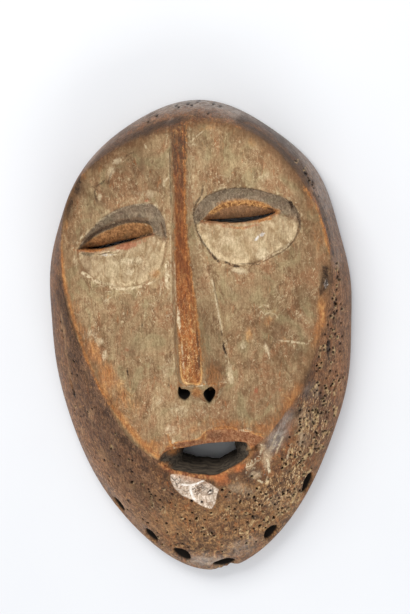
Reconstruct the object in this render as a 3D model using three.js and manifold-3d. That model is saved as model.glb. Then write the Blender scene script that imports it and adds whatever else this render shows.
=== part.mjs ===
// A carved wooden face mask that lies on its back rim. Millimetres, +Z up out of the face,
// +Y to the forehead, +X to the viewer's right, origin at the middle of the rim's box on the floor.
import * as THREE from 'three';
import { mergeVertices } from 'three/addons/utils/BufferGeometryUtils.js';
import Module from 'manifold-3d';

// ---- driving dimensions ----
const CENTRE = [2, 25];          // the middle of the face, from which outline and face edge are measured
// radius of the outline and of the face edge about CENTRE: mean, then cosine and sine of each harmonic
const OUTLINE = [91.74, -1.81, -14.56, -19.09, 1.61, 0.53, 4.79, 3.03, -0.54, -0.2, -1.01, -0.74, -0.16, -0.08, 0.06, 0.32, -0.02, 0.4, 0.27];
const CHIN_POINT = 9, CHIN_AT = -1.614, CHIN_SPREAD = 0.244;   // the chin is drawn out to a blunt point
const FACE = [72.83, 0.38, 5.24, -9.64, 0.3, 0.22, 2.72, 0.5, -0.77, 0.17, -0.6, 0.25, 0.79, -0.37, -0.03];
const WIDEST_Z = 7;              // height at which the side wall is widest
const UNDERCUT = 0.8;            // how far the rim's foot stands inside the widest line
const RIM_WALL = 9.5;            // width of the flat back rim at the sides
const CHIN_WALL = 22;            // width of the back rim at the chin
const FACE_WALL = 13;            // thickness of the face plane
const SEGMENTS = 72;             // facets round the outline

// face plane: height along the middle line, and how far it falls at 65 mm to the side
const PLANE_Y = [-70, -55, -30, 0, 30, 60, 90, 112];
const PLANE_Z = [45.0, 46.5, 46.5, 45.0, 44.0, 44.0, 42.5, 38.5];
const FALL_Y = [-60, -40, 0, 50, 100];
const FALL_Z = [5, 7, 10, 9, 7];

// nose: ridge from the forehead edge to the nostrils, at stations down the face
const NOSE_Y = [108, 85, 57, 28, 0, -9, -12.5];
const NOSE_RISE = [0.5, 2.2, 3.2, 5.5, 9.5, 11.0, 10.5];   // top above the face plane
const NOSE_LEFT = [-3.6, -3.4, -4.6, -5.7, -5.4, -5.3, -4.6];
const NOSE_RIGHT = [4.3, 2.8, 1.7, 3.7, 5.4, 5.4, 5.0];
const FLANK_LEFT = [0.8, 1.4, 1.8, 2.6, 3.4, 3.6, 3.4];
const FLANK_RIGHT = [0.8, 2.0, 3.4, 7.2, 10.2, 11.2, 10.5];
const NOSE_BACK = 15;            // how far the underside of the nose slopes back to the lip
const NOSTRILS = [{ x: -5.0, y: -17.4, w: 3.1 }, { x: 7.4, y: -18.2, w: 2.9 }];
const NOSTRIL_H = 4.6, NOSTRIL_DEPTH = 12, NOSTRIL_TILT = 26;

// eyes: socket outline about a point on the slit, slit from corner to corner
const EYES = [
  { at: [-32, 54.7], rim: [21.1, 1.9, -1.6, 1.4, 2.3, -1.1, 0.1, -0.5, 0.3], slit: [[-51.5, 52.8], [-34, 54.4], [-18, 58.3]] },
  { at: [28, 62.4], rim: [21.5, 1.2, -1.8, 3.3, -0.2, 1.0, 0.9, 0.3, -0.4], slit: [[9.5, 63.4], [28, 62.4], [43.5, 64.6]] },
];
const SOCKET_DEPTH = 8.5;        // depth of the socket at the middle of the slit, under the brow
const LID_DEPTH = 4.2;           // depth of the lower lid's edge at the slit
const SOCKET_EDGE = 0.7;          // the socket's edge is cut in by this much all round
const SLIT_GAP = 2.4;

// mouth: a lens through the wall
const MOUTH_LEFT = -20.2, MOUTH_RIGHT = 26.5, MOUTH_Y = -50;
const MOUTH_UP = 5.6, MOUTH_DOWN = 11.4;
const MOUTH_LEAN = 4;            // the chin side of the hole leans in by this much
const LIP_CHAMFER = 7.5;         // width of the cut-back band over the mouth
const LIP_DROP = 3, LIP_LEFT = -14, LIP_RIGHT = 32;

// cord holes through the rim of the jaw: where each meets the side wall, half its length along the rim, half its width
const CORD_HOLES = [
  [-47.4, -81.4, 13.3, 4.7, 3.1], [-31.7, -97.4, 15.0, 4.5, 3.1], [-16.4, -107.5, 15.6, 4.9, 3.5],
  [29.2, -98.4, 14.0, 4.6, 3.2], [49.4, -73.6, 13.3, 5.9, 3.3], [5.4, -113.2, 12.6, 7.2, 2.9],
];
const HOLE_TILT = 20, HOLE_LENGTH = 60;
// the rim is broken out under the chin's hole, up to this height
const BREAK_X = [-6, -1.5, 3, 6, 8, 9.6, 12.5, 15.5];
const BREAK_Y = [-121.5, -118.8, -117.4, -116.4, -115.4, -116.3, -116.6, -119.5];
const BREAK_TOP = 11.5;

// ---- helpers ----
const wasm = await Module();
wasm.setup();
const { sin, cos, hypot, atan2, PI, max, min, abs, sqrt, pow } = Math;
const clamp = (v, a, b) => max(a, min(b, v));
const ease = (a, b, v) => { const t = clamp((v - a) / (b - a), 0, 1); return t * t * (3 - 2 * t); };

// smooth curve through stations
function through(xs, ys) {
  const n = xs.length, d = [];
  for (let i = 0; i < n - 1; i++) d.push((ys[i + 1] - ys[i]) / (xs[i + 1] - xs[i]));
  const m = ys.map((_, i) => (i === 0 ? d[0] : i === n - 1 ? d[n - 2] : (d[i - 1] + d[i]) / 2));
  return (v) => {
    const up = xs[n - 1] > xs[0];
    const t = up ? clamp(v, xs[0], xs[n - 1]) : clamp(v, xs[n - 1], xs[0]);
    let k = 0;
    while (k < n - 2 && (up ? t > xs[k + 1] : t < xs[k + 1])) k++;
    const h = xs[k + 1] - xs[k], s = (t - xs[k]) / h;
    return (1 + 2 * s) * (1 - s) ** 2 * ys[k] + s * (1 - s) ** 2 * h * m[k]
      + s * s * (3 - 2 * s) * ys[k + 1] + s * s * (s - 1) * h * m[k + 1];
  };
}
const harmonics = (c) => (a) => {
  let r = c[0];
  for (let k = 1; 2 * k < c.length; k++) r += c[2 * k - 1] * cos(k * a) + c[2 * k] * sin(k * a);
  return r;
};
// a closed solid of rings about a pole, place(ring, angle) giving each point
function ringSolid(segments, rings, place) {
  const g = new THREE.SphereGeometry(1, segments, rings);
  const pos = g.attributes.position;
  let k = 0;
  for (let i = 0; i <= rings; i++) {
    for (let j = 0; j <= segments; j++) {
      const [x, y, z] = place(i, ((j % segments) / segments) * 2 * PI);
      pos.setXYZ(k++, x, y, z);
    }
  }
  return solid(g);
}
function solid(geometry) {
  let g = geometry.clone();
  g.deleteAttribute('normal');
  g.deleteAttribute('uv');
  g = mergeVertices(g, 1e-4);
  return new wasm.Manifold(new wasm.Mesh({
    numProp: 3,
    vertProperties: new Float32Array(g.attributes.position.array),
    triVerts: new Uint32Array(g.index.array),
  }));
}
const rounded = harmonics(OUTLINE);
const outline = (a) => {
  const d = atan2(sin(a - CHIN_AT), cos(a - CHIN_AT)) / CHIN_SPREAD;
  return rounded(a) + CHIN_POINT * Math.exp(-d * d);
};
const faceEdge = harmonics(FACE);
const planeMid = through(PLANE_Y, PLANE_Z);
const planeFall = through(FALL_Y, FALL_Z);
const plane = (x, y) => planeMid(y) - planeFall(y) * pow(abs(x - 1) / 65, 2.2);
// how square the side wall's section is: full at sides and forehead, flatter at the chin
const squareness = (a) => 0.3 + 0.32 * ease(-0.75, 0.1, sin(a));
const at = (r, a) => [CENTRE[0] + r * cos(a), CENTRE[1] + r * sin(a)];

// ---- outer form: face plane, then side wall round to the rim ----
const FACE_RINGS = 7, WALL_RINGS = 7;
const block = ringSolid(SEGMENTS, FACE_RINGS + WALL_RINGS + 2, (i, a) => {
  const B = faceEdge(a), R = outline(a);
  if (i <= FACE_RINGS) {
    const [x, y] = at((B * i) / FACE_RINGS, a);
    return [x, y, plane(x, y)];
  }
  if (i <= FACE_RINGS + WALL_RINGS) {
    const w = (i - FACE_RINGS) / WALL_RINGS;
    const t = sin((w * PI) / 2) * 0.6 + w * 0.4;                // closer rings where the wall turns down
    const [bx, by] = at(B, a), zb = plane(bx, by), q = squareness(a);
    const g = q * sqrt(max(0, 1 - t * t)) + (1 - q) * (1 - t);
    return [...at(B + (R - B) * t, a), WIDEST_Z + (zb - WIDEST_Z) * g];
  }
  if (i === FACE_RINGS + WALL_RINGS + 1) return [...at(R - UNDERCUT, a), 0];
  return [...CENTRE, 0];
});

// ---- nose: a flat-topped ridge, section by section, its end sloping back to the lip ----
const noseRise = through(NOSE_Y, NOSE_RISE), noseL = through(NOSE_Y, NOSE_LEFT), noseR = through(NOSE_Y, NOSE_RIGHT);
const flankL = through(NOSE_Y, FLANK_LEFT), flankR = through(NOSE_Y, FLANK_RIGHT);
const NOSE_TOP = NOSE_Y[0], NOSE_END = NOSE_Y[NOSE_Y.length - 1], NOSE_STEPS = 14;
const noseBox = new THREE.BoxGeometry(1, 1, 1, 3, NOSE_STEPS, 1);
{
  const pos = noseBox.attributes.position;
  for (let k = 0; k < pos.count; k++) {
    const u = pos.getX(k) + 0.5, v = 0.5 - pos.getY(k), top = pos.getZ(k) > 0;
    let y = NOSE_TOP + (NOSE_END - NOSE_TOP) * v;
    const across = [noseL(y) - flankL(y), noseL(y), noseR(y), noseR(y) + flankR(y)][Math.round(u * 3)];
    const inner = u > 0.2 && u < 0.8;
    let z = top ? plane(across, y) + (inner ? noseRise(y) : -0.8) : plane(across, y) - 4;
    if (v > 0.999 && !inner) y = NOSE_END - 2.5;
    else if (!top && v > 0.999) y = NOSE_END - NOSE_BACK;
    if (v < 0.001 && top) z = plane(across, y) - 0.8;
    pos.setXYZ(k, across, y, z);
  }
}
const nose = solid(noseBox);

// ---- eye sockets: the hollow above the slit is deep, the lid below it swells to the socket's edge ----
function socket(eye, side) {
  const rim = harmonics(eye.rim), RINGS = 7;
  const slitY = through(eye.slit.map((p) => p[0]), eye.slit.map((p) => p[1]));
  const x0 = eye.slit[0][0], x1 = eye.slit[2][0];
  return ringSolid(44, RINGS + 2, (i, a) => {
    const r = rim(a);
    if (i === 0) return [...eye.at, plane(...eye.at) + 12];
    if (i === 1) {
      const x = eye.at[0] + r * cos(a), y = eye.at[1] + r * sin(a);
      return [x, y, plane(x, y) + 12];
    }
    const s = 1 - (i - 2) / RINGS;                                   // 1 at the rim, 0 at the slit
    const x = eye.at[0] + r * s * cos(a), y = eye.at[1] + r * s * sin(a);
    const e = clamp(1 - ((2 * x - x0 - x1) / (x1 - x0 + 6)) ** 2, 0, 1);   // shallow at the corners
    const over = y >= slitY(x) - 0.01 ? 1 : 0;
    const up = 1.2 * (1 - s) + SOCKET_DEPTH * pow(1 - s, 0.75) * e;
    const low = 1.2 * (1 - s) + LID_DEPTH * pow(1 - s, 1.5) * e;
    return [x, y, plane(x, y) - (over ? up : low) - SOCKET_EDGE];
  });
}
// an upright lens-shaped cutter between two curves, leaning towards its foot
function lens(x0, x1, upper, lower, zTop, zFoot, lean, steps) {
  const g = new THREE.BoxGeometry(1, 1, 1, steps, 1, 1);
  const pos = g.attributes.position;
  for (let k = 0; k < pos.count; k++) {
    const x = x0 + (pos.getX(k) + 0.5) * (x1 - x0), top = pos.getZ(k) > 0;
    const y = pos.getY(k) > 0 ? upper(x) : lower(x) + (top ? 0 : min(lean, (upper(x) - lower(x)) / 3));
    pos.setXYZ(k, x, y, top ? zTop : zFoot);
  }
  return solid(g);
}
const bow = (x, x0, x1) => sqrt(max(0.0004, 1 - ((2 * x - x0 - x1) / (x1 - x0)) ** 2));
function slit(eye) {
  const xs = eye.slit.map((p) => p[0]), mid = through(xs, eye.slit.map((p) => p[1]));
  const half = (x) => (SLIT_GAP / 2) * bow(x, xs[0] - 0.2, xs[2] + 0.2);
  return lens(xs[0], xs[2], (x) => mid(x) + half(x), (x) => mid(x) - half(x), 60, 5, 0, 14);
}

// ---- mouth ----
const mouthMid = (x) => MOUTH_Y + 1.6 * ((x - MOUTH_LEFT) / (MOUTH_RIGHT - MOUTH_LEFT));
const mouthUp = (x) => mouthMid(x) + MOUTH_UP * pow(bow(x, MOUTH_LEFT - 0.2, MOUTH_RIGHT + 0.2), 0.8);
const mouthLow = (x) => mouthMid(x) - MOUTH_DOWN * pow(bow(x, MOUTH_LEFT - 0.2, MOUTH_RIGHT + 0.2), 1.25);
const mouth = lens(MOUTH_LEFT, MOUTH_RIGHT, mouthUp, mouthLow, 62, 2, MOUTH_LEAN, 18);
// the band over the mouth is cut back to its edge
const lipBox = new THREE.BoxGeometry(1, 1, 1, 16, 1, 1);
{
  const pos = lipBox.attributes.position, x0 = LIP_LEFT, x1 = LIP_RIGHT;
  for (let k = 0; k < pos.count; k++) {
    const x = x0 + (pos.getX(k) + 0.5) * (x1 - x0), far = pos.getY(k) > 0, top = pos.getZ(k) > 0;
    const b = pow(bow(x, x0 - 0.1, x1 + 0.1), 0.8), edge = mouthUp(clamp(x, MOUTH_LEFT, MOUTH_RIGHT));
    const near = mouthMid(clamp(x, MOUTH_LEFT, MOUTH_RIGHT));
    const y = far ? edge + LIP_CHAMFER * b : min(edge, near + 1);
    const z = top ? 62 : plane(x, y) + 0.3 - b * (far ? 0.4 : LIP_DROP * (1 + (edge - y) / LIP_CHAMFER) + 0.4);
    pos.setXYZ(k, x, y, z);
  }
}
const lip = solid(lipBox);

// ---- hollow back ----
const CAVITY_RINGS = 9;
const chinward = (a) => ease(0.45, 0.97, -sin(a));
const cavity = ringSolid(SEGMENTS, CAVITY_RINGS + 2, (i, a) => {
  const R = outline(a), foot = R - RIM_WALL - (CHIN_WALL - RIM_WALL) * chinward(a);
  if (i > CAVITY_RINGS) return i === CAVITY_RINGS + 1 ? [...at(foot + 0.8, a), -4] : [...CENTRE, -4];
  // from the ceiling's middle out, then down the wall
  const w = i / CAVITY_RINGS, t = sin((w * PI) / 2);
  const [x, y] = at(foot * t, a);
  const chin = chinward(a);
  const ceiling = plane(CENTRE[0] + min(1, t) * (faceEdge(a) - 8) * cos(a), CENTRE[1] + t * (faceEdge(a) - 8) * sin(a)) - FACE_WALL;
  const p = 3.2 - 1.5 * chin;                                        // rounder towards the chin
  const g = pow(max(0, 1 - pow(t, p)), 1 / p);
  return [x, y, ceiling * g];
});

// ---- cord holes, through the wall at right angles to the outline ----
function bore(x, y, z, half, wide) {
  const a = atan2(y - CENTRE[1], x - CENTRE[0]), d = 0.01;
  const p = at(outline(a - d), a - d), q = at(outline(a + d), a + d);
  const n = new THREE.Vector3(q[1] - p[1], -(q[0] - p[0]), 0).normalize();
  const along = new THREE.Vector3(-n.y, n.x, 0);
  n.z = Math.tan((HOLE_TILT * PI) / 180);
  n.normalize();
  const g = new THREE.CylinderGeometry(1, 1, HOLE_LENGTH, 16);
  g.scale(half, 1, wide);
  g.applyMatrix4(new THREE.Matrix4().makeBasis(along, n, new THREE.Vector3().crossVectors(along, n)));
  g.translate(x, y, z);
  return solid(g);
}

const bores = CORD_HOLES.map((hole) => bore(...hole));
const breakOut = lens(-5, 15.5, through(BREAK_X, BREAK_Y), () => -130, BREAK_TOP, -3, 0, 10);
const nostrils = NOSTRILS.map(({ x, y, w }) => {
  const g = new THREE.CylinderGeometry(1, 1, NOSTRIL_DEPTH * 2, 12);
  g.scale(w, 1, NOSTRIL_H);
  const t = (NOSTRIL_TILT * PI) / 180;
  const dir = new THREE.Vector3(0, -sin(t), cos(t));
  g.applyQuaternion(new THREE.Quaternion().setFromUnitVectors(new THREE.Vector3(0, 1, 0), dir));
  g.translate(x, y, plane(x, y) + 5);
  return solid(g);
});

let form = block.add(nose);
EYES.forEach((eye, k) => { form = form.subtract(socket(eye, k)); });
form = form.subtract(lip).subtract(cavity).subtract(mouth);
EYES.forEach((eye) => { form = form.subtract(slit(eye)); });
[...bores, breakOut, ...nostrils].forEach((c) => { form = form.subtract(c); });

function toMesh(name, shape, material) {
  const m = shape.getMesh();
  const g = new THREE.BufferGeometry();
  const p = new Float32Array((m.vertProperties.length / m.numProp) * 3);
  for (let i = 0; i < p.length / 3; i++) for (let c = 0; c < 3; c++) p[3 * i + c] = m.vertProperties[m.numProp * i + c];
  g.setAttribute('position', new THREE.BufferAttribute(p, 3));
  g.setIndex(new THREE.BufferAttribute(new Uint32Array(m.triVerts), 1));
  g.computeVertexNormals();
  const mesh = new THREE.Mesh(g, material);
  mesh.name = name;
  return mesh;
}

const wood = new THREE.MeshStandardMaterial({ color: 0x8a7458, roughness: 0.7, metalness: 0 });
const mask = toMesh('mask', form, wood);
const box = new THREE.Box3().setFromBufferAttribute(mask.geometry.getAttribute('position'));
mask.position.set(-(box.min.x + box.max.x) / 2, -(box.min.y + box.max.y) / 2, -box.min.z);
const group = new THREE.Group();
group.add(mask);
export default group;
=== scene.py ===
import bpy
from mathutils import Matrix, Vector

import math
import numpy as np


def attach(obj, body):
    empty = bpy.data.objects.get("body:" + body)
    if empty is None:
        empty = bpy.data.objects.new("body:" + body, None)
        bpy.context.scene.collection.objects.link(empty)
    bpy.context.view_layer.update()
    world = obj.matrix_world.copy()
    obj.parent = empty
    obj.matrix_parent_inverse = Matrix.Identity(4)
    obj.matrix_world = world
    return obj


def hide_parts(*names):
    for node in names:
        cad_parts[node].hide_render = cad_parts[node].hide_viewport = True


# ------------------------------------------------------------------ the carving, in mm
# X to the viewer's right, Y to the forehead, Z out of the face; the same numbers as the CAD part.
CENTRE = (2.0, 25.0)
OUTLINE = [91.74, -1.81, -14.56, -19.09, 1.61, 0.53, 4.79, 3.03, -0.54, -0.2, -1.01, -0.74,
           -0.16, -0.08, 0.06, 0.32, -0.02, 0.4, 0.27]
CHIN_POINT, CHIN_AT, CHIN_SPREAD = 9.0, -1.614, 0.244
FACE = [72.83, 0.38, 5.24, -9.64, 0.3, 0.22, 2.72, 0.5, -0.77, 0.17, -0.6, 0.25, 0.79, -0.37, -0.03]
WIDEST_Z, UNDERCUT = 7.0, 0.8
RIM_WALL, CHIN_WALL, FACE_WALL = 9.5, 22.0, 13.0
PLANE_Y = [-70, -55, -30, 0, 30, 60, 90, 112]
PLANE_Z = [45.0, 46.5, 46.5, 45.0, 44.0, 44.0, 42.5, 38.5]
FALL_Y = [-60, -40, 0, 50, 100]
FALL_Z = [5, 7, 10, 9, 7]
SHIFT = (0.6457, 0.5487)          # the CAD part's origin in these numbers


def through(t, xs, ys):
    """smooth curve through stations"""
    xs = np.asarray(xs, float)
    ys = np.asarray(ys, float)
    if xs[0] > xs[-1]:
        xs, ys = xs[::-1], ys[::-1]
    t = np.clip(np.asarray(t, float), xs[0], xs[-1])
    d = np.diff(ys) / np.diff(xs)
    m = np.empty(len(xs))
    m[0], m[-1] = d[0], d[-1]
    m[1:-1] = (d[:-1] + d[1:]) / 2
    k = np.clip(np.searchsorted(xs, t, side="right") - 1, 0, len(xs) - 2)
    h = xs[k + 1] - xs[k]
    s = (t - xs[k]) / h
    return ((1 + 2 * s) * (1 - s) ** 2 * ys[k] + s * (1 - s) ** 2 * h * m[k]
            + s * s * (3 - 2 * s) * ys[k + 1] + s * s * (s - 1) * h * m[k + 1])


def ease(a, b, v):
    t = np.clip((v - a) / (b - a), 0, 1)
    return t * t * (3 - 2 * t)


def harmonics(a, c):
    r = c[0] + 0 * a
    for k in range(1, len(c) // 2 + 1):
        r = r + c[2 * k - 1] * np.cos(k * a) + c[2 * k] * np.sin(k * a)
    return r


def outline(a):
    d = np.arctan2(np.sin(a - CHIN_AT), np.cos(a - CHIN_AT)) / CHIN_SPREAD
    return harmonics(a, OUTLINE) + CHIN_POINT * np.exp(-d * d)


def plane(x, y):
    return through(y, PLANE_Y, PLANE_Z) - through(y, FALL_Y, FALL_Z) * (np.abs(x - 1) / 65) ** 2.2


def smax(a, b, k):
    """the larger of two, with the corner between them rounded over k"""
    h = np.clip(0.5 + 0.5 * (a - b) / k, 0, 1)
    return b + (a - b) * h + k * h * (1 - h)


def smin(a, b, k):
    return -smax(-a, -b, k)


class Noise:
    """repeatable smooth noise on the working grid"""

    def __init__(self, x, y, seed):
        self.x, self.y = x, y
        self.rng = np.random.default_rng(seed)

    def at(self, size, stretch=1.0, angle=0.0, octaves=3):
        """noise of about that wavelength in mm, longer along y by stretch; about -1 to 1"""
        out, amp, total = 0.0, 1.0, 0.0
        ca, sa = math.cos(angle), math.sin(angle)
        u0 = (self.x * ca + self.y * sa) / size
        v0 = (-self.x * sa + self.y * ca) / (size * stretch)
        for _ in range(octaves):
            g = self.rng.standard_normal((256, 256)).astype(np.float32)
            u, v = u0 + self.rng.uniform(0, 200), v0 + self.rng.uniform(0, 200)
            iu, iv = np.floor(u).astype(int), np.floor(v).astype(int)
            fu, fv = (u - iu).astype(np.float32), (v - iv).astype(np.float32)
            fu, fv = fu * fu * (3 - 2 * fu), fv * fv * (3 - 2 * fv)
            a, b = g[iu & 255, iv & 255], g[(iu + 1) & 255, iv & 255]
            c, d = g[iu & 255, (iv + 1) & 255], g[(iu + 1) & 255, (iv + 1) & 255]
            out = out + amp * ((a * (1 - fu) + b * fu) * (1 - fv) + (c * (1 - fu) + d * fu) * fv)
            total += amp
            amp *= 0.55
            u0, v0 = u0 * 2.03, v0 * 2.03
        return out / total


def blur(f, mm, h):
    """gaussian blur of a grid of pitch h by about mm"""
    s = max(mm / h, 1e-3)
    n = int(3 * s) + 1
    k = np.exp(-0.5 * (np.arange(-n, n + 1) / s) ** 2)
    k /= k.sum()
    for axis in (0, 1):
        p = np.pad(f, [(n, n) if i == axis else (0, 0) for i in (0, 1)], mode="edge")
        acc = 0.0
        for i, w in enumerate(k):
            sl = [slice(None), slice(None)]
            sl[axis] = slice(i, i + f.shape[axis])
            acc = acc + w * p[tuple(sl)]
        f = acc
    return f


def inside(x, y, pts):
    """signed distance to a closed polygon, positive inside"""
    pts = np.asarray(pts, float)
    d2 = np.full(x.shape, 1e9)
    odd = np.zeros(x.shape, bool)
    for (ax, ay), (bx, by) in zip(pts, np.roll(pts, -1, 0)):
        ex, ey = bx - ax, by - ay
        t = np.clip(((x - ax) * ex + (y - ay) * ey) / (ex * ex + ey * ey), 0, 1)
        d2 = np.minimum(d2, (x - ax - t * ex) ** 2 + (y - ay - t * ey) ** 2)
        cross = ((ay > y) != (by > y)) & (x < (bx - ax) * (y - ay) / (by - ay + 1e-12) + ax)
        odd ^= cross
    return np.where(odd, 1, -1) * np.sqrt(d2)


def stroke(x, y, pts, widths=None):
    """distance to an open line of points, and how far along it (0 to 1)"""
    pts = np.asarray(pts, float)
    seg = np.hypot(*np.diff(pts, axis=0).T)
    run = np.concatenate([[0], np.cumsum(seg)]) / seg.sum()
    best, along = np.full(x.shape, 1e9), np.zeros(x.shape)
    for k in range(len(pts) - 1):
        (ax, ay), (bx, by) = pts[k], pts[k + 1]
        ex, ey = bx - ax, by - ay
        t = np.clip(((x - ax) * ex + (y - ay) * ey) / (ex * ex + ey * ey), 0, 1)
        d = np.hypot(x - ax - t * ex, y - ay - t * ey)
        near = d < best
        best = np.where(near, d, best)
        along = np.where(near, run[k] + t * (run[k + 1] - run[k]), along)
    return best, along


# nose ridge stations down the face
NOSE_Y = [112, 100, 85, 70, 57, 42, 28, 14, 0, -8, -12.5]
NOSE_RISE = [0.3, 1.3, 2.0, 2.6, 3.2, 4.2, 5.6, 7.6, 9.8, 10.9, 11.2]
NOSE_LEFT = [-3.7, -3.6, -3.3, -3.8, -4.6, -5.3, -5.7, -5.6, -5.4, -5.2, -4.4]
NOSE_RIGHT = [4.5, 4.0, 2.8, 1.8, 1.7, 2.5, 3.7, 4.9, 5.5, 5.6, 5.2]
FLANK_LEFT = [1.0, 1.4, 1.6, 1.8, 2.0, 2.3, 2.7, 3.1, 3.5, 3.6, 3.6]
FLANK_RIGHT = [1.0, 1.8, 2.4, 3.0, 3.8, 5.6, 7.4, 8.8, 10.0, 10.8, 10.6]

EYES = (
    dict(at=(-32.0, 54.7), rim=None, slit=[(-53.2, 53.0), (-47, 52.4), (-41, 52.9), (-33, 54.6), (-25, 56.1), (-15.8, 59.0)],
         lens=[(-53.2, 53.1), (-50, 55.4), (-46.6, 57.7), (-43.1, 59.4), (-36.9, 61.8), (-31, 63.8), (-25.9, 64.6), (-21.2, 64.2), (-17.6, 63.2), (-16.0, 61.2), (-15.6, 59.2)],
         gap=1.0, deep=11.0, open=(-51.0, -23.5)),
    dict(at=(28.0, 62.6), rim=None, slit=[(8.6, 63.8), (16.5, 62.8), (23.7, 62.3), (28.5, 62.4), (33.4, 62.8), (38.2, 63.7), (44.6, 65.6)],
         lens=[(8.6, 64.0), (10.8, 66.2), (13.5, 68.6), (18.1, 71.2), (24.4, 72.2), (31.7, 71.9), (38.7, 69.9), (44.6, 66.2)],
         gap=1.4, deep=11.5, open=(9.5, 44.0)),
)
EYES[0]["edge"] = [(-52.4, 54.2), (-48.5, 59.8), (-44.8, 63.4), (-40.6, 67.1), (-35.5, 70.2), (-30.5, 72.3), (-25.5, 73.5),
                   (-20.7, 74.1), (-15.8, 73.9), (-12.1, 71.7), (-10, 67.8), (-8.8, 64.3), (-8.5, 55.6), (-10, 48.4),
                   (-12.4, 42.3), (-16.1, 38.1), (-21.2, 35), (-28.6, 33.4), (-35.9, 33.8), (-43.1, 36.1), (-48.7, 39.8),
                   (-52.2, 44.4), (-53.8, 49.4)]
EYES[1]["edge"] = [(4.9, 66.9), (6.1, 70.2), (8.2, 73), (12.3, 76.1), (17.2, 77.7), (23, 78.8), (27.8, 78.8), (34.8, 77.6),
                   (41.8, 75.3), (47.4, 73.1), (51, 70.5), (53.7, 67), (55.3, 63.1), (54.5, 57.9), (53.3, 53.2), (49.8, 50),
                   (44.8, 47.4), (39.9, 44.8), (34, 42.7), (27.7, 41.1), (22.9, 41.4), (18.2, 43.1), (14.4, 44.7),
                   (11.3, 48.7), (8.3, 53.3), (6.2, 58.7), (4.7, 63.6)]

MOUTH_TOP = [(-20.4, -51.6), (-19.4, -49.6), (-17, -47.4), (-12.1, -46.4), (-7.1, -46), (-2.2, -45.2), (2.8, -44.5),
             (12.6, -44.1), (19.9, -44.4), (23.7, -45.6), (26.6, -48.4)]
MOUTH_LOW = [(-20.4, -52.2), (-19.2, -54.2), (-16.5, -56.3), (-13.2, -58.2), (-8.3, -59.2), (-3.5, -60.3), (1.4, -61.3),
             (6.3, -61.5), (11.3, -59.9), (16.4, -57.1), (20.5, -54.7), (24, -52.2), (26.6, -49.0)]
LIP_EDGE = [(-20.4, -51.0), (-16, -44.6), (-11.6, -42.4), (-4, -41.4), (0.7, -40.4), (3.4, -37.6), (8.4, -36.2), (15.6, -36.3), (22.8, -38.0),
            (27.5, -39.8), (32.2, -42.2), (33.5, -44)]
FLAKE = [(-15.2, -59.0), (-11.5, -58.9), (-6.8, -60.3), (-2.9, -61.4), (0.9, -63.0), (3.9, -64.8), (7.5, -68.4), (6.0, -72.1),
         (4.9, -76.2), (2.8, -79.5), (-0.5, -78.5), (-5.8, -74.2), (-11.2, -71.0), (-14.4, -66.8), (-15.7, -62.2)]
# cord holes where they meet the side wall: point, half length along the rim, half width
CORD_HOLES = [(-47.4, -81.4, 13.3, 4.8, 3.5), (-31.7, -97.4, 15.0, 4.6, 3.5), (-16.4, -107.6, 15.3, 5.1, 4.1),
              (29.2, -98.4, 14.0, 4.7, 3.5), (49.4, -73.6, 13.3, 5.9, 3.3),
              (4.4, -113.2, 12.6, 5.6, 3.0)]
HOLE_TILT = 20


def rounded(pts, n=6, closed=True):
    """points along a smooth curve through pts"""
    p = np.asarray(pts, float)
    a = np.roll(p, 1, 0) if closed else np.vstack([2 * p[0] - p[1], p[:-1]])
    c = np.roll(p, -1, 0) if closed else np.vstack([p[1:], 2 * p[-1] - p[-2]])
    d = np.roll(p, -2, 0) if closed else np.vstack([p[2:], 2 * p[-1] - p[-2], 3 * p[-1] - 2 * p[-2]])
    out = []
    last = len(p) if closed else len(p) - 1
    for k in range(last):
        for s in np.arange(n) / n:
            out.append(0.5 * (2 * p[k] + (c[k] - a[k]) * s + (2 * a[k] - 5 * p[k] + 4 * c[k] - d[k]) * s * s
                              + (3 * p[k] - a[k] - 3 * c[k] + d[k]) * s ** 3))
    if not closed:
        out.append(p[-1])
    return np.array(out)


def curve_y(x, pts):
    p = np.asarray(pts, float)
    return through(x, p[:, 0], p[:, 1])


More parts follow.
